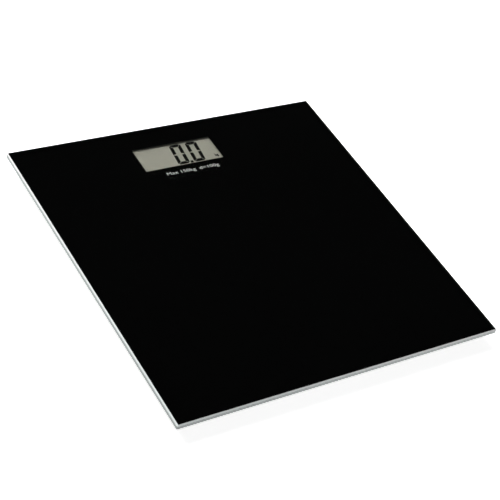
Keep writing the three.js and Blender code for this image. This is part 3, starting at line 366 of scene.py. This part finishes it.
class Finish(Nodes):
    """One material, made of nodes."""

    def __init__(self, name):
        self.material = bpy.data.materials.new(name)
        self.material.use_nodes = True
        super().__init__(self.material.node_tree)

    def place(self):
        """Object coordinates, in metres."""
        return self.add("ShaderNodeTexCoord", output="Object")

    def axis(self, index):
        """One coordinate of the place: 0 for x, 1 for y, 2 for z."""
        return self.add("ShaderNodeSeparateXYZ", None, {"Vector": self.place()}, output=index)

    def stretched(self, scale):
        """The place times a factor along each axis."""
        return self.add(
            "ShaderNodeVectorMath", {"operation": "MULTIPLY"}, {0: self.place(), 1: scale})

    def noise(self, size, detail=2.0, place=None, roughness=0.5):
        """Soft noise from 0 to 1 with lumps of the given size in metres."""
        return self.add(
            "ShaderNodeTexNoise", None,
            {"Vector": place or self.place(), "Scale": 1 / size, "Detail": detail,
             "Roughness": roughness},
        )

    def cells(self, size):
        """The distance to the nearest of many scattered points, in cells of the given size."""
        return self.add("ShaderNodeTexVoronoi", None, {"Vector": self.place(), "Scale": 1 / size})

    def blend(self, factor, first, second):
        """A colour between two, by a factor from 0 to 1."""
        return self.add(
            "ShaderNodeMix", {"data_type": "RGBA"}, {0: factor, 6: rgba(first), 7: rgba(second)},
            output=2,
        )

    def bump(self, height, distance, strength):
        """A normal tilted by a height map whose full range is the given distance in metres."""
        return self.add(
            "ShaderNodeBump", None, {"Height": height, "Distance": distance, "Strength": strength})

    def principled(self, **sockets):
        """The Principled shader. Its sockets are named in lower case with underscores."""
        named = {name.replace("_", " ").title().replace("Ior", "IOR"): value
                 for name, value in sockets.items()}
        return self.add("ShaderNodeBsdfPrincipled", None, named)

    def done(self, shader):
        """Puts the shader on the surface and returns the material."""
        self.add("ShaderNodeOutputMaterial", None, {"Surface": shader})
        return self.material


def rgba(colour):
    """A colour with an alpha of 1, unless it is already a link."""
    return colour if isinstance(colour, Value) else (*colour[:3], 1.0)


def lighter(colour, factor):
    """The colour times a factor, kept under 1."""
    return tuple(min(1.0, channel * factor) for channel in colour[:3])


# ---------------------------------------------------------------- surfaces


def mesh_piece(name, vertices, faces, materials, slots=None, smooth=True):
    """An object at the origin from an array of vertices and a list of faces."""
    mesh = bpy.data.meshes.new(name)
    mesh.from_pydata(np.asarray(vertices, float).tolist(), [], [list(face) for face in faces])
    for material in materials:
        mesh.materials.append(material)
    if slots is not None:
        mesh.polygons.foreach_set("material_index", np.asarray(slots, np.int32))
    mesh.polygons.foreach_set("use_smooth", np.full(len(mesh.polygons), smooth))
    mesh.update()
    piece = bpy.data.objects.new(name, mesh)
    bpy.context.scene.collection.objects.link(piece)
    return piece


def weld(piece, distance):
    """Merges doubled points, which closes seams and poles, and turns the faces outwards."""
    shape = bmesh.new()
    shape.from_mesh(piece.data)
    bmesh.ops.remove_doubles(shape, verts=shape.verts, dist=distance)
    bmesh.ops.dissolve_degenerate(shape, edges=shape.edges, dist=distance / 10)
    bmesh.ops.recalc_face_normals(shape, faces=shape.faces)
    shape.to_mesh(piece.data)
    shape.free()
    return piece


def rounded_rectangle(low, high, radius, steps):
    """Points and outward directions round a rectangle in plan.

    Each corner is a quarter circle: its centre plus the radius times (cos a, sin a), with a
    running over 90 degrees from one side's outward direction to the next one's.
    """
    low, high = np.asarray(low[:2], float), np.asarray(high[:2], float)
    turn = np.linspace(0, math.pi / 2, steps)[None, :] + np.arange(4)[:, None] * math.pi / 2
    outward = np.stack([np.cos(turn), np.sin(turn)], axis=-1)
    centres = np.array([
        [high[0] - radius, high[1] - radius],
        [low[0] + radius, high[1] - radius],
        [low[0] + radius, low[1] + radius],
        [high[0] - radius, low[1] + radius],
    ])
    points = centres[:, None, :] + radius * outward
    return points.reshape(-1, 2), outward.reshape(-1, 2)


def ring_faces(rings, around):
    """Quads between rings of points that each close on themselves, as an index array."""
    row, column = np.meshgrid(np.arange(rings - 1), np.arange(around), indexing="ij")
    after = (column + 1) % around
    corners = [row * around + column, row * around + after,
               (row + 1) * around + after, (row + 1) * around + column]
    return np.stack(corners, axis=-1).reshape(-1, 4)


def plate(name, outline, outward, rim, materials, rim_slots):
    """A plate with a shaped edge: an outline in plan carried through the points of a rim profile.

    Ring k is the outline moved inwards by rim[k][0], at height rim[k][1]. The first ring closes
    with a flat face below and the last with one above. rim_slots holds the material between each
    ring and the next.
    """
    rim = np.asarray(rim, float)
    plan = outline[None] - rim[:, 0, None, None] * outward[None]
    height = np.broadcast_to(rim[:, 1, None, None], (*plan.shape[:2], 1))
    vertices = np.concatenate([plan, height], axis=-1).reshape(-1, 3)
    around = len(outline)
    sides = ring_faces(len(rim), around)
    bottom = np.arange(around)[::-1]
    top = np.arange(around) + (len(rim) - 1) * around
    faces = [*sides.tolist(), bottom.tolist(), top.tolist()]
    slots = np.concatenate([np.repeat(rim_slots, around), [0, 0]])
    return mesh_piece(name, vertices, faces, materials, slots)


def prism(outline, bottom, top):
    """Vertices and faces of a flat piece whose plan is a polygon."""
    around = len(outline)
    low = np.column_stack([outline, np.full(around, bottom)])
    high = np.column_stack([outline, np.full(around, top)])
    faces = [list(range(around))[::-1], list(range(around, 2 * around))]
    faces += ring_faces(2, around).tolist()
    return np.concatenate([low, high]), faces


def joined(name, parts, materials):
    """One piece from several (vertices, faces) pairs."""
    starts = np.cumsum([0] + [len(vertices) for vertices, _ in parts])
    vertices = np.concatenate([vertices for vertices, _ in parts])
    faces = [[int(start) + i for i in face] for start, (_, some) in zip(starts, parts)
             for face in some]
    return mesh_piece(name, vertices, faces, materials, smooth=False)


def softened(node, material, edge):
    """A merged copy of a CAD node whose sharp edges get a small radius. It stands for the node."""
    source = frame["nodes"][node].data
    vertices = np.empty(len(source.vertices) * 3)
    source.vertices.foreach_get("co", vertices)
    corners = np.empty(len(source.loops), np.int32)
    source.loops.foreach_get("vertex_index", corners)
    piece = mesh_piece(
        f"{node}_shaped", vertices.reshape(-1, 3), corners.reshape(-1, 3), [material])
    shape = bmesh.new()
    shape.from_mesh(piece.data)
    bmesh.ops.remove_doubles(shape, verts=shape.verts, dist=NODE_WELD)
    bmesh.ops.dissolve_limit(
        shape, angle_limit=FLAT_ANGLE, verts=shape.verts, edges=shape.edges)
    shape.to_mesh(piece.data)
    shape.free()
    piece.data.set_sharp_from_angle(angle=SHARP_ANGLE)
    bevel = piece.modifiers.new("edges", "BEVEL")
    bevel.width = edge
    bevel.segments = BEVEL_SEGMENTS
    bevel.limit_method = "ANGLE"
    bevel.angle_limit = BEVEL_ANGLE
    bevel.harden_normals = True
    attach(piece, frame["nodes"][node]["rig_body"])
    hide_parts(node)
    return piece


def finish_node(node, material):
    """Gives a CAD node its material."""
    target = frame["nodes"][node]
    target.data.materials.clear()
    target.data.materials.append(material)


# ---------------------------------------------------------------- finishes


def clear_glass(tint):
    """Polished float glass: clear and very slightly green."""
    m = Finish("clear_glass")
    return m.done(m.principled(
        base_color=rgba(tint), roughness=0.0, ior=1.52, transmission_weight=1.0))


def ground_glass(name, colour, streaks):
    """The ground edge of the plate: frosted, with fine lines left by the wheel along each edge.

    Painted shading: its tone rises smoothly with x + y from the front left corner to the corners
    beside it, and stays the same beyond them. Seen from inside the glass it is painted shade:
    nearly black, with no gloss.
    """
    m = Finish(name)
    wheel = m.noise(0.4 * MM, 3.0, m.stretched((0.02, 0.02, 6.0)), 0.7)
    chips = m.noise(1.2 * MM, 4.0)
    # Painted shading: darker at the front left corner, lighter towards and beyond the corners
    # beside it
    depth = (m.axis(0) + m.axis(1)).ramp(GLASS_LOW.x + GLASS_LOW.y, 0.0)
    painted_shading = m.blend(depth, lighter(colour, CORNER_PAINTED_SHADE), lighter(colour, FAR_PAINTED_LIGHT))
    colour_map = m.blend(wheel.ramp(0.3, 0.7) * streaks, painted_shading, lighter(colour, STREAK_TONE))
    outside = m.principled(
        base_color=colour_map, roughness=0.32 + 0.2 * chips, ior=1.5,
        normal=m.bump(wheel + 0.4 * chips, 0.05 * MM, 0.5))
    # Painted shade: faces seen from inside the glass are nearly black and have no gloss
    inside = m.principled(
        base_color=(0.002, 0.003, 0.0025, 1), roughness=1.0, specular_ior_level=0.0)
    facing = m.add("ShaderNodeNewGeometry", output="Backfacing")
    return m.done(m.add("ShaderNodeMixShader", None, {0: facing, 1: outside, 2: inside}))


def print_ink(ink, contact_height):
    """The black ink: no gloss where it wets the glass, an orange peel on its free face below."""
    m = Finish("print_ink")
    peel = m.noise(1.1 * MM, 3.0)
    cloud = m.noise(40 * MM, 2.0)
    tone = m.blend(cloud, ink, lighter(ink, 1.6))
    free = m.principled(
        base_color=m.blend(cloud, lighter(ink, 25.0), lighter(ink, 35.0)),
        roughness=0.42 + 0.16 * peel, ior=1.45, normal=m.bump(peel, 0.03 * MM, 0.6))
    wetted = m.principled(base_color=tone, roughness=1.0, specular_ior_level=0.0)
    return m.done(m.add(
        "ShaderNodeMixShader", None, {0: m.axis(2).above(contact_height), 1: free, 2: wetted}))


def legend_ink(colour):
    """The light grey ink of the small print, which wets the glass."""
    m = Finish("legend_ink")
    coat = m.noise(0.8 * MM, 3.0)
    return m.done(m.principled(
        base_color=m.blend(coat, lighter(colour, 0.92), lighter(colour, 1.06)), roughness=1.0,
        specular_ior_level=0.0))


def display_face(colour):
    """The polariser over the reflector: a warm grey with the reflector's fine sparkle."""
    m = Finish("display_face")
    sparkle = m.noise(0.35 * MM, 2.0)
    cloud = m.noise(28 * MM, 2.0)
    shade = m.blend(sparkle.ramp(0.3, 0.7), lighter(colour, 0.95), lighter(colour, 1.05))
    tone = m.blend(cloud.ramp(0.35, 0.65), shade, lighter(colour, 1.03))
    return m.done(m.principled(
        base_color=tone, roughness=0.3 + 0.08 * sparkle, ior=1.5, coat_weight=0.4,
        coat_roughness=0.05, normal=m.bump(sparkle, 0.01 * MM, 0.4)))


def display_segment(colour):
    """A dark segment of the display."""
    m = Finish("display_segment")
    drift = m.noise(6 * MM, 2.0)
    return m.done(m.principled(
        base_color=m.blend(drift, colour, lighter(colour, 1.5)), roughness=0.9,
        specular_ior_level=0.0))


def moulded_plastic(name, colour, grain):
    """Injection moulded plastic with a spark-eroded texture, slight flow marks and scuffs."""
    m = Finish(name)
    spark = m.noise(grain, 3.0, roughness=0.6)
    pits = m.cells(grain * 0.8)
    flow = m.noise(14 * MM, 2.0, m.stretched((1.0, 0.25, 1.0)))
    scuff = m.noise(5 * MM, 6.0, roughness=0.75).ramp(0.62, 0.72)
    tone = m.blend(flow, lighter(colour, 0.85), lighter(colour, 1.2))
    return m.done(m.principled(
        base_color=m.blend(scuff * 0.35, tone, lighter(colour, 2.4)),
        roughness=0.5 + 0.12 * spark - 0.08 * scuff,
        ior=1.5,
        normal=m.bump(spark + 0.5 * pits, 0.05 * MM, 0.55)))


def foam_tape(colour):
    """Closed-cell foam: many small pores, quite matt."""
    m = Finish("foam_tape")
    pores = m.cells(0.5 * MM)
    return m.done(m.principled(
        base_color=m.blend(pores, lighter(colour, 0.6), lighter(colour, 1.4)), roughness=0.92,
        normal=m.bump(pores, 0.2 * MM, 0.8)))


def sole_rubber(colour):
    """Moulded rubber: matt, with a fine stipple and a little dust in it."""
    m = Finish("sole_rubber")
    stipple = m.noise(0.3 * MM, 3.0)
    dust = m.noise(3.5 * MM, 5.0, roughness=0.7).ramp(0.5, 0.72)
    return m.done(m.principled(
        base_color=m.blend(dust * 0.3, colour, DUST), roughness=0.78 + 0.14 * stipple,
        ior=1.45, normal=m.bump(stipple, 0.05 * MM, 0.7)))


def brushed_metal(name, colour, roughness):
    """Sheet or turned metal with fine lines along x and a few stains."""
    m = Finish(name)
    lines = m.noise(0.25 * MM, 3.0, m.stretched((0.04, 1.0, 1.0)), 0.6)
    stain = m.noise(4 * MM, 4.0)
    tone = m.blend(stain, lighter(colour, 0.86), lighter(colour, 1.08))
    return m.done(m.principled(
        base_color=tone, metallic=1.0, roughness=roughness + 0.16 * lines,
        normal=m.bump(lines, 0.02 * MM, 0.35)))


def solder_mask():
    """The board: green solder mask over faint copper tracks, with a woven glass ground."""
    m = Finish("solder_mask")
    thread = math.tau / (0.9 * MM)
    weave = (m.axis(0) * thread).sine() * (m.axis(1) * thread).sine()
    tracks = (m.noise(7 * MM, 1.0, m.stretched((1.0, 0.2, 1.0))) * 30.0).sine().above(0.55)
    tone = m.blend(tracks, (0.012, 0.085, 0.028), (0.03, 0.16, 0.05))
    return m.done(m.principled(
        base_color=tone, roughness=0.32 + 0.05 * weave, ior=1.5, coat_weight=0.3,
        normal=m.bump(0.3 * weave + tracks, 0.03 * MM, 0.6)))


def potting_resin():
    """The black blob over the chip: glossy, slightly uneven where it flowed."""
    m = Finish("potting_resin")
    sag = m.noise(2.5 * MM, 2.0)
    return m.done(m.principled(
        base_color=m.blend(sag, (0.008, 0.008, 0.008), (0.02, 0.02, 0.02)),
        roughness=0.18 + 0.2 * sag, normal=m.bump(sag, 0.25 * MM, 0.6)))


def satin_plastic(name, colour):
    """Smooth light plastic with a soft sheen."""
    m = Finish(name)
    flow = m.noise(9 * MM, 3.0)
    fine = m.noise(0.3 * MM, 2.0)
    return m.done(m.principled(
        base_color=m.blend(flow, lighter(colour, 0.93), lighter(colour, 1.04)),
        roughness=0.4 + 0.1 * fine, normal=m.bump(fine, 0.02 * MM, 0.4)))


def zebra_rubber():
    """The layered contact strip: thin black and pale layers side by side."""
    m = Finish("zebra_rubber")
    layers = (m.axis(0) * (math.tau / (0.4 * MM))).sine().ramp(-0.2, 0.2)
    return m.done(m.principled(
        base_color=m.blend(layers, (0.02, 0.02, 0.02), (0.62, 0.58, 0.52)), roughness=0.7))


def adhesive_film():
    """White acrylic tape, a little translucent, with trapped bubbles."""
    m = Finish("adhesive_film")
    bubbles = m.cells(1.6 * MM).ramp(0.1, 0.25)
    return m.done(m.principled(
        base_color=m.blend(bubbles, (0.45, 0.45, 0.43), (0.62, 0.62, 0.6)), roughness=0.6,
        normal=m.bump(bubbles, 0.05 * MM, 0.5)))


def lead_sheath():
    """The flat lead's grey sheath: plain plastic whose tone drifts along it."""
    m = Finish("lead_sheath")
    fine = m.noise(0.4 * MM, 3.0)
    long = m.noise(12 * MM, 2.0)
    return m.done(m.principled(
        base_color=m.blend(long, (0.2, 0.21, 0.22), (0.3, 0.31, 0.32)),
        roughness=0.45 + 0.1 * fine, normal=m.bump(fine, 0.03 * MM, 0.4)))


def studio_floor(colour, glow):
    """Seamless pale paper on a light table, whose glow keeps the shadows faint."""
    m = Finish("studio_floor")
    fibre = m.noise(3 * MM, 4.0)
    return m.done(m.principled(
        base_color=m.blend(fibre, lighter(colour, 0.99), colour), roughness=0.9,
        specular_ior_level=0.2, emission_color=rgba(colour), emission_strength=glow))


# ---------------------------------------------------------------- operators


class SCALE_OT_platform(bpy.types.Operator):
    """Make the glass plate with its ground edges, and finish the print and its legend"""

    bl_idname = "scale.platform"
    bl_label = "Glass platform"

    def execute(self, context):
        sizes = context.scene.scale_platform
        self.glass(sizes)
        contact_height = PRINT_HIGH.z - WETTED * (PRINT_HIGH.z - PRINT_LOW.z)
        finish_node("black_print", print_ink(sizes.ink, contact_height))
        self.legend(sizes)
        return {"FINISHED"}

    def glass(self, sizes):
        """The plate: a rounded rectangle through an arris, an upright edge and an arris."""
        outline, outward = rounded_rectangle(
            GLASS_LOW, GLASS_HIGH, sizes.corner_radius, sizes.corner_steps)
        low, high, arris = GLASS_LOW.z, GLASS_HIGH.z, sizes.arris
        soft = SOFTENING * arris
        lift = SOFT_LIFT * soft
        rim = [
            (MARGIN * arris, low), (arris, low), (arris - soft, low + lift),
            (soft, low + arris - soft), (0.0, low + arris + lift), (0.0, high - arris - lift),
            (soft, high - arris + soft), (arris - soft, high - lift), (arris, high),
        ]
        materials = [
            clear_glass(sizes.tint),
            ground_glass("ground_arris", sizes.arris_colour, 0.5),
            # The upright edge's darker colour is painted shade on the same frosted glass as the
            # arris
            ground_glass("ground_edge_shaded", sizes.ground, 0.8),
        ]
        piece = plate(
            "glass_plate", outline, outward, rim, materials, rim_slots=[1, 1, 1, 1, 2, 1, 1, 1])
        piece.data.set_sharp_from_angle(angle=PLATE_SHARP_ANGLE)
        piece.visible_shadow = False
        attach(piece, "platform")
        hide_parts("glass_platform")

    def legend(self, sizes):
        """The small print, in the gap between the ink and the glass."""
        left, right, front = window_span()
        middle = (left + right) / 2 + sizes.legend_shift
        piece = flat_text(
            "legend", sizes.legend, legend_ink(sizes.legend_colour),
            sizes.legend_width, sizes.legend_height,
            (middle - sizes.legend_width / 2, front - sizes.legend_drop),
            PRINT_HIGH.z)
        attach(piece, "platform")


def window_span():
    """The left, right and front edges of the clear window in the print."""
    mesh = frame["nodes"]["black_print"].data
    points = np.empty(len(mesh.vertices) * 3)
    mesh.vertices.foreach_get("co", points)
    points = points.reshape(-1, 3)
    x, y = np.abs(points[:, 0]), np.abs(points[:, 1])
    inner = points[(x < WINDOW_SEARCH_X * PRINT_HIGH.x) & (y < WINDOW_SEARCH_Y * PRINT_HIGH.y)]
    return inner[:, 0].min(), inner[:, 0].max(), inner[:, 1].min()


def flat_text(name, text, material, width, height, corner, face, weight=0.0):
    """Lettering as a thin film on a face, at the given height.

    Its capitals have the given height. It fills the given width from its lower left corner. Its
    two sides may start at any distance, because both are then moved to the film's heights.
    """
    curve = bpy.data.curves.new(name, "FONT")
    curve.body = text
    curve.resolution_u = LETTER_STEPS
    curve.extrude = 0.5
    curve.offset = weight
    source = bpy.data.objects.new(name, curve)
    bpy.context.scene.collection.objects.link(source)
    bpy.context.view_layer.update()
    mesh = bpy.data.meshes.new_from_object(source)
    bpy.data.objects.remove(source)
    points = np.empty(len(mesh.vertices) * 3)
    mesh.vertices.foreach_get("co", points)
    points = points.reshape(-1, 3)
    capital = cap_height()
    span = points[:, 0].max() - points[:, 0].min()
    points[:, 0] = corner[0] + (points[:, 0] - points[:, 0].min()) * width / span
    points[:, 1] = corner[1] + points[:, 1] * height / capital
    points[:, 2] = np.where(points[:, 2] > 0, face + SKIN_TOP, face + SKIN)
    mesh.vertices.foreach_set("co", points.ravel())
    mesh.materials.clear()
    mesh.materials.append(material)
    mesh.update()
    piece = bpy.data.objects.new(name, mesh)
    bpy.context.scene.collection.objects.link(piece)
    return weld(piece, LETTER_WELD)


def cap_height():
    """The height of a capital letter in a text of size 1."""
    curve = bpy.data.curves.new("capital", "FONT")
    curve.body = "M"
    source = bpy.data.objects.new("capital", curve)
    bpy.context.scene.collection.objects.link(source)
    bpy.context.view_layer.update()
    height = source.dimensions.y
    bpy.data.objects.remove(source)
    return height


class SCALE_OT_display(bpy.types.Operator):
    """Make the digits of the display and finish its panel and holder"""

    bl_idname = "scale.display"
    bl_label = "Display"

    def execute(self, context):
        sizes = context.scene.scale_display
        finish_node("lcd_panel", display_face(sizes.face))
        finish_node("lcd_holder", satin_plastic("holder_plastic", HOLDER_PLASTIC))
        finish_node("zebra_strip", zebra_rubber())
        finish_node("display_gasket", foam_tape(GASKET_FOAM))
        segment = display_segment(sizes.segment)
        middle = np.array([(LCD_LOW.x + LCD_HIGH.x) / 2, (LCD_LOW.y + LCD_HIGH.y) / 2])
        start = middle + np.array(sizes.first_digit)
        parts = []
        for place in range(DIGITS):
            corner = start + (place * sizes.digit_pitch, 0)
            parts += zero_segments(sizes, corner)
        point = start + (sizes.digit_pitch - POINT_BACK, -POINT_DOWN)
        parts.append(point_segment(sizes, point))
        digits = joined("display_digits", parts, [segment])
        unit = flat_text(
            "display_unit", sizes.unit, segment, sizes.unit_width, sizes.unit_height,
            middle + np.array(sizes.unit_place), LCD_HIGH.z, UNIT_WEIGHT)
        for piece in (digits, unit):
            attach(piece, "platform")
        return {"FINISHED"}


def segment_outlines(sizes):
    """The outer six segments of a digit as outlines of five or six points, from (0, 0).

    Each is a bar along one side of the digit's box. Its outer edge runs between two chamfered
    corners, its inner edge is one stroke further in, and its mitred ends stop half a gap short of
    the diagonal. The chamfer is the line where x + y is its length. At the waist an upright bar
    ends half a gap short of the middle, and a little more on its inner side.
    """
    width, height, stroke, chamfer = (
        sizes.digit_width, sizes.digit_height, sizes.stroke, sizes.chamfer)
    half, middle = sizes.gap / 2, height / 2
    far, near = (chamfer + half) / 2, (chamfer - half) / 2
    low = [
        (chamfer, 0), (width - chamfer, 0), (width - far, near), (width - stroke - half, stroke),
        (stroke + half, stroke), (far, near)]
    high = [(x, height - y) for x, y in reversed(low)]
    lower_left = [
        (0, chamfer), (near, far), (stroke, stroke + half),
        (stroke, middle - half - stroke / WAIST), (0, middle - half)]
    lower_right = [(width - x, y) for x, y in reversed(lower_left)]
    upper_left = [(x, height - y) for x, y in reversed(lower_left)]
    upper_right = [(width - x, height - y) for x, y in lower_left]
    return [np.array(bar, float) for bar in
            (low, high, lower_left, lower_right, upper_left, upper_right)]


def leaning(outline, corner, slant):
    """An outline moved to a corner and leant to the right by the slant."""
    lean = outline[:, 1] * math.tan(slant)
    return np.column_stack([outline[:, 0] + lean, outline[:, 1]]) + corner


def zero_segments(sizes, corner):
    """A nought: the six outer segments of a digit."""
    return [
        prism(leaning(bar, corner, sizes.slant), LCD_HIGH.z + SKIN, LCD_HIGH.z + SKIN_TOP)
        for bar in segment_outlines(sizes)
    ]


def point_segment(sizes, corner):
    """The decimal point: a small square."""
    side = POINT_SIDE * sizes.stroke
    square = np.array([(0, 0), (side, 0), (side, side), (0, side)], float)
    return prism(
        leaning(square, corner, sizes.slant), LCD_HIGH.z + SKIN, LCD_HIGH.z + SKIN_TOP)


class SCALE_OT_module(bpy.types.Operator):
    """Finish the module's housing, cover, battery door and button"""

    bl_idname = "scale.module"
    bl_label = "Module"

    def execute(self, context):
        sizes = context.scene.scale_mouldings
        plastic = moulded_plastic("housing_plastic", sizes.plastic, sizes.grain)
        for node in ("module_housing", "module_cover", "battery_door"):
            softened(node, plastic, sizes.edge)
        rubber = sole_rubber(lighter(sizes.rubber, BUTTON_TONE))
        softened("unit_button", rubber, sizes.small_edge)
        return {"FINISHED"}


class SCALE_OT_electronics(bpy.types.Operator):
    """Finish the circuit board, its chip, the switch, the battery and its contacts"""

    bl_idname = "scale.electronics"
    bl_label = "Electronics"

    def execute(self, context):
        finish_node("circuit_board", solder_mask())
        finish_node("chip_resin", potting_resin())
        finish_node("unit_switch", satin_plastic("switch_plastic", SWITCH_PLASTIC))
        finish_node("coin_cell", brushed_metal("cell_steel", CELL_STEEL, 0.22))
        nickel = brushed_metal("nickel_strip", NICKEL, 0.24)
        finish_node("contact_positive", nickel)
        finish_node("contact_negative", nickel)
        return {"FINISHED"}


class SCALE_OT_screws(bpy.types.Operator):
    """Finish the screws of the cover and the board"""

    bl_idname = "scale.screws"
    bl_label = "Screws"

    def execute(self, context):
        zinc = brushed_metal("zinc_plate", ZINC, 0.28)
        for node in COVER_SCREWS + BOARD_SCREWS:
            finish_node(node, zinc)
        return {"FINISHED"}


class SCALE_OT_feet(bpy.types.Operator):
    """Finish the four feet with their cups, load cells, soles and adhesive"""

    bl_idname = "scale.feet"
    bl_label = "Feet"

    def execute(self, context):
        sizes = context.scene.scale_mouldings
        plastic = moulded_plastic("foot_plastic", sizes.plastic, sizes.grain)
        rubber = sole_rubber(sizes.rubber)
        steel = brushed_metal("gauge_steel", GAUGE_STEEL, 0.3)
        film = adhesive_film()
        for corner in CORNERS:
            softened(f"foot_cup_{corner}", plastic, sizes.edge)
            softened(f"foot_{corner}", plastic, sizes.edge)
            softened(f"sole_{corner}", rubber, sizes.edge)
            finish_node(f"load_cell_{corner}", steel)
            finish_node(f"cup_adhesive_{corner}", film)
        return {"FINISHED"}


class SCALE_OT_leads(bpy.types.Operator):
    """Finish the leads and the channel covers over them"""

    bl_idname = "scale.leads"
    bl_label = "Leads"

    def execute(self, context):
        sizes = context.scene.scale_mouldings
        plastic = moulded_plastic("channel_plastic", sizes.plastic, sizes.grain)
        sheath = lead_sheath()
        for corner in CORNERS:
            finish_node(f"lead_{corner}", sheath)
            softened(f"wire_cover_{corner}", plastic, sizes.small_edge)
        return {"FINISHED"}


class SCALE_OT_stage(bpy.types.Operator):
    """Set up the camera, the lights and the floor"""

    bl_idname = "scale.stage"
    bl_label = "Studio"

    FLOOR_HALF = 12.0

    def execute(self, context):
        sizes = context.scene.scale_studio
        self.camera(context, sizes)
        self.lights(sizes)
        self.world(context)
        half = self.FLOOR_HALF
        corners = [(-half, -half, 0), (half, -half, 0), (half, half, 0), (-half, half, 0)]
        paper = studio_floor(sizes.floor, sizes.glow)
        floor = mesh_piece("floor", corners, [(0, 1, 2, 3)], [paper])
        view = context.scene.view_settings
        view.view_transform = "Standard"
        view.look = "None"
        return {"FINISHED"}

    def camera(self, context, sizes):
        """A camera at an azimuth and elevation round its aim, leant by its roll."""
        back = bearing(sizes.azimuth, sizes.elevation)
        level = Vector((0, 0, 1)).cross(back).normalized()
        upright = back.cross(level)
        right = math.cos(sizes.roll) * level - math.sin(sizes.roll) * upright
        up = math.cos(sizes.roll) * upright + math.sin(sizes.roll) * level
        data = bpy.data.cameras.new("camera")
        data.lens = sizes.lens
        data.sensor_width = FRAME_WIDTH
        data.clip_start = 0.01
        data.clip_end = 100.0
        camera = bpy.data.objects.new("camera", data)
        turn = Matrix((right, up, back)).transposed().to_4x4()
        camera.matrix_world = Matrix.Translation(Vector(sizes.aim) + back * sizes.distance) @ turn
        context.scene.collection.objects.link(camera)
        context.scene.camera = camera

    def lights(self, sizes):
        """One large soft light, high behind the left side. The floor's glow fills the shadows."""
        soft_light(
            "key_light", sizes.key_power, sizes.key_size, sizes.key_azimuth,
            sizes.key_elevation, sizes.key_distance)

    def world(self, context):
        """A pale horizon that darkens upwards, so that the glass mirrors a dark ceiling."""
        world = bpy.data.worlds.new("studio")
        world.use_nodes = True
        context.scene.world = world
        sky = Nodes(world.node_tree)
        towards = sky.add("ShaderNodeTexCoord", output="Generated")
        height = sky.add("ShaderNodeSeparateXYZ", None, {"Vector": towards}, output="Z")
        strength = height.ramp(
            HORIZON_HEIGHT, CEILING_HEIGHT, HORIZON_STRENGTH, CEILING_STRENGTH)
        background = sky.add(
            "ShaderNodeBackground", None, {"Color": (1, 1, 1, 1), "Strength": strength})
        sky.add("ShaderNodeOutputWorld", None, {"Surface": background})


def bearing(azimuth, elevation):
    """The direction from the scale towards a camera or lamp at an azimuth and elevation."""
    flat = math.cos(elevation)
    return Vector((
        math.sin(azimuth) * flat, -math.cos(azimuth) * flat, math.sin(elevation)))


def soft_light(name, power, size, azimuth, elevation, distance):
    """A square area light that faces the scale."""
    data = bpy.data.lights.new(name, "AREA")
    data.energy = power
    data.size = size
    lamp = bpy.data.objects.new(name, data)
    towards = bearing(azimuth, elevation)
    lamp.location = towards * distance
    lamp.rotation_mode = "QUATERNION"
    lamp.rotation_quaternion = (-towards).to_track_quat("-Z", "Y")
    bpy.context.scene.collection.objects.link(lamp)


# ---------------------------------------------------------------- panel and registration

GROUPS = {
    "scale_platform": SCALE_PG_platform,
    "scale_display": SCALE_PG_display,
    "scale_mouldings": SCALE_PG_mouldings,
    "scale_studio": SCALE_PG_studio,
}
OPERATORS = (
    SCALE_OT_stage,
    SCALE_OT_platform,
    SCALE_OT_display,
    SCALE_OT_module,
    SCALE_OT_electronics,
    SCALE_OT_screws,
    SCALE_OT_feet,
    SCALE_OT_leads,
)


class SCALE_PT_sidebar(bpy.types.Panel):
    """The scale's pieces and sizes, in the sidebar"""

    bl_idname = "SCALE_PT_sidebar"
    bl_label = "Bathroom Scale"
    bl_space_type = "VIEW_3D"
    bl_region_type = "UI"
    bl_category = "Scale"

    def draw(self, context):
        for operator in OPERATORS:
            self.layout.operator(operator.bl_idname)
        for name, group in GROUPS.items():
            box = self.layout.box()
            sizes = getattr(context.scene, name)
            for prop in group.__annotations__:
                box.prop(sizes, prop)


def register():
    for group in GROUPS.values():
        bpy.utils.register_class(group)
    for name, group in GROUPS.items():
        setattr(bpy.types.Scene, name, PointerProperty(type=group))
    for operator in OPERATORS:
        bpy.utils.register_class(operator)
    bpy.utils.register_class(SCALE_PT_sidebar)


def unregister():
    bpy.utils.unregister_class(SCALE_PT_sidebar)
    for operator in reversed(OPERATORS):
        bpy.utils.unregister_class(operator)
    for name in GROUPS:
        delattr(bpy.types.Scene, name)
    for group in reversed(GROUPS.values()):
        bpy.utils.unregister_class(group)


def main():
    """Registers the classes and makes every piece."""
    register()
    for operator in OPERATORS:
        family, name = operator.bl_idname.split(".")
        getattr(getattr(bpy.ops, family), name)()


if __name__ == "__main__":
    main()
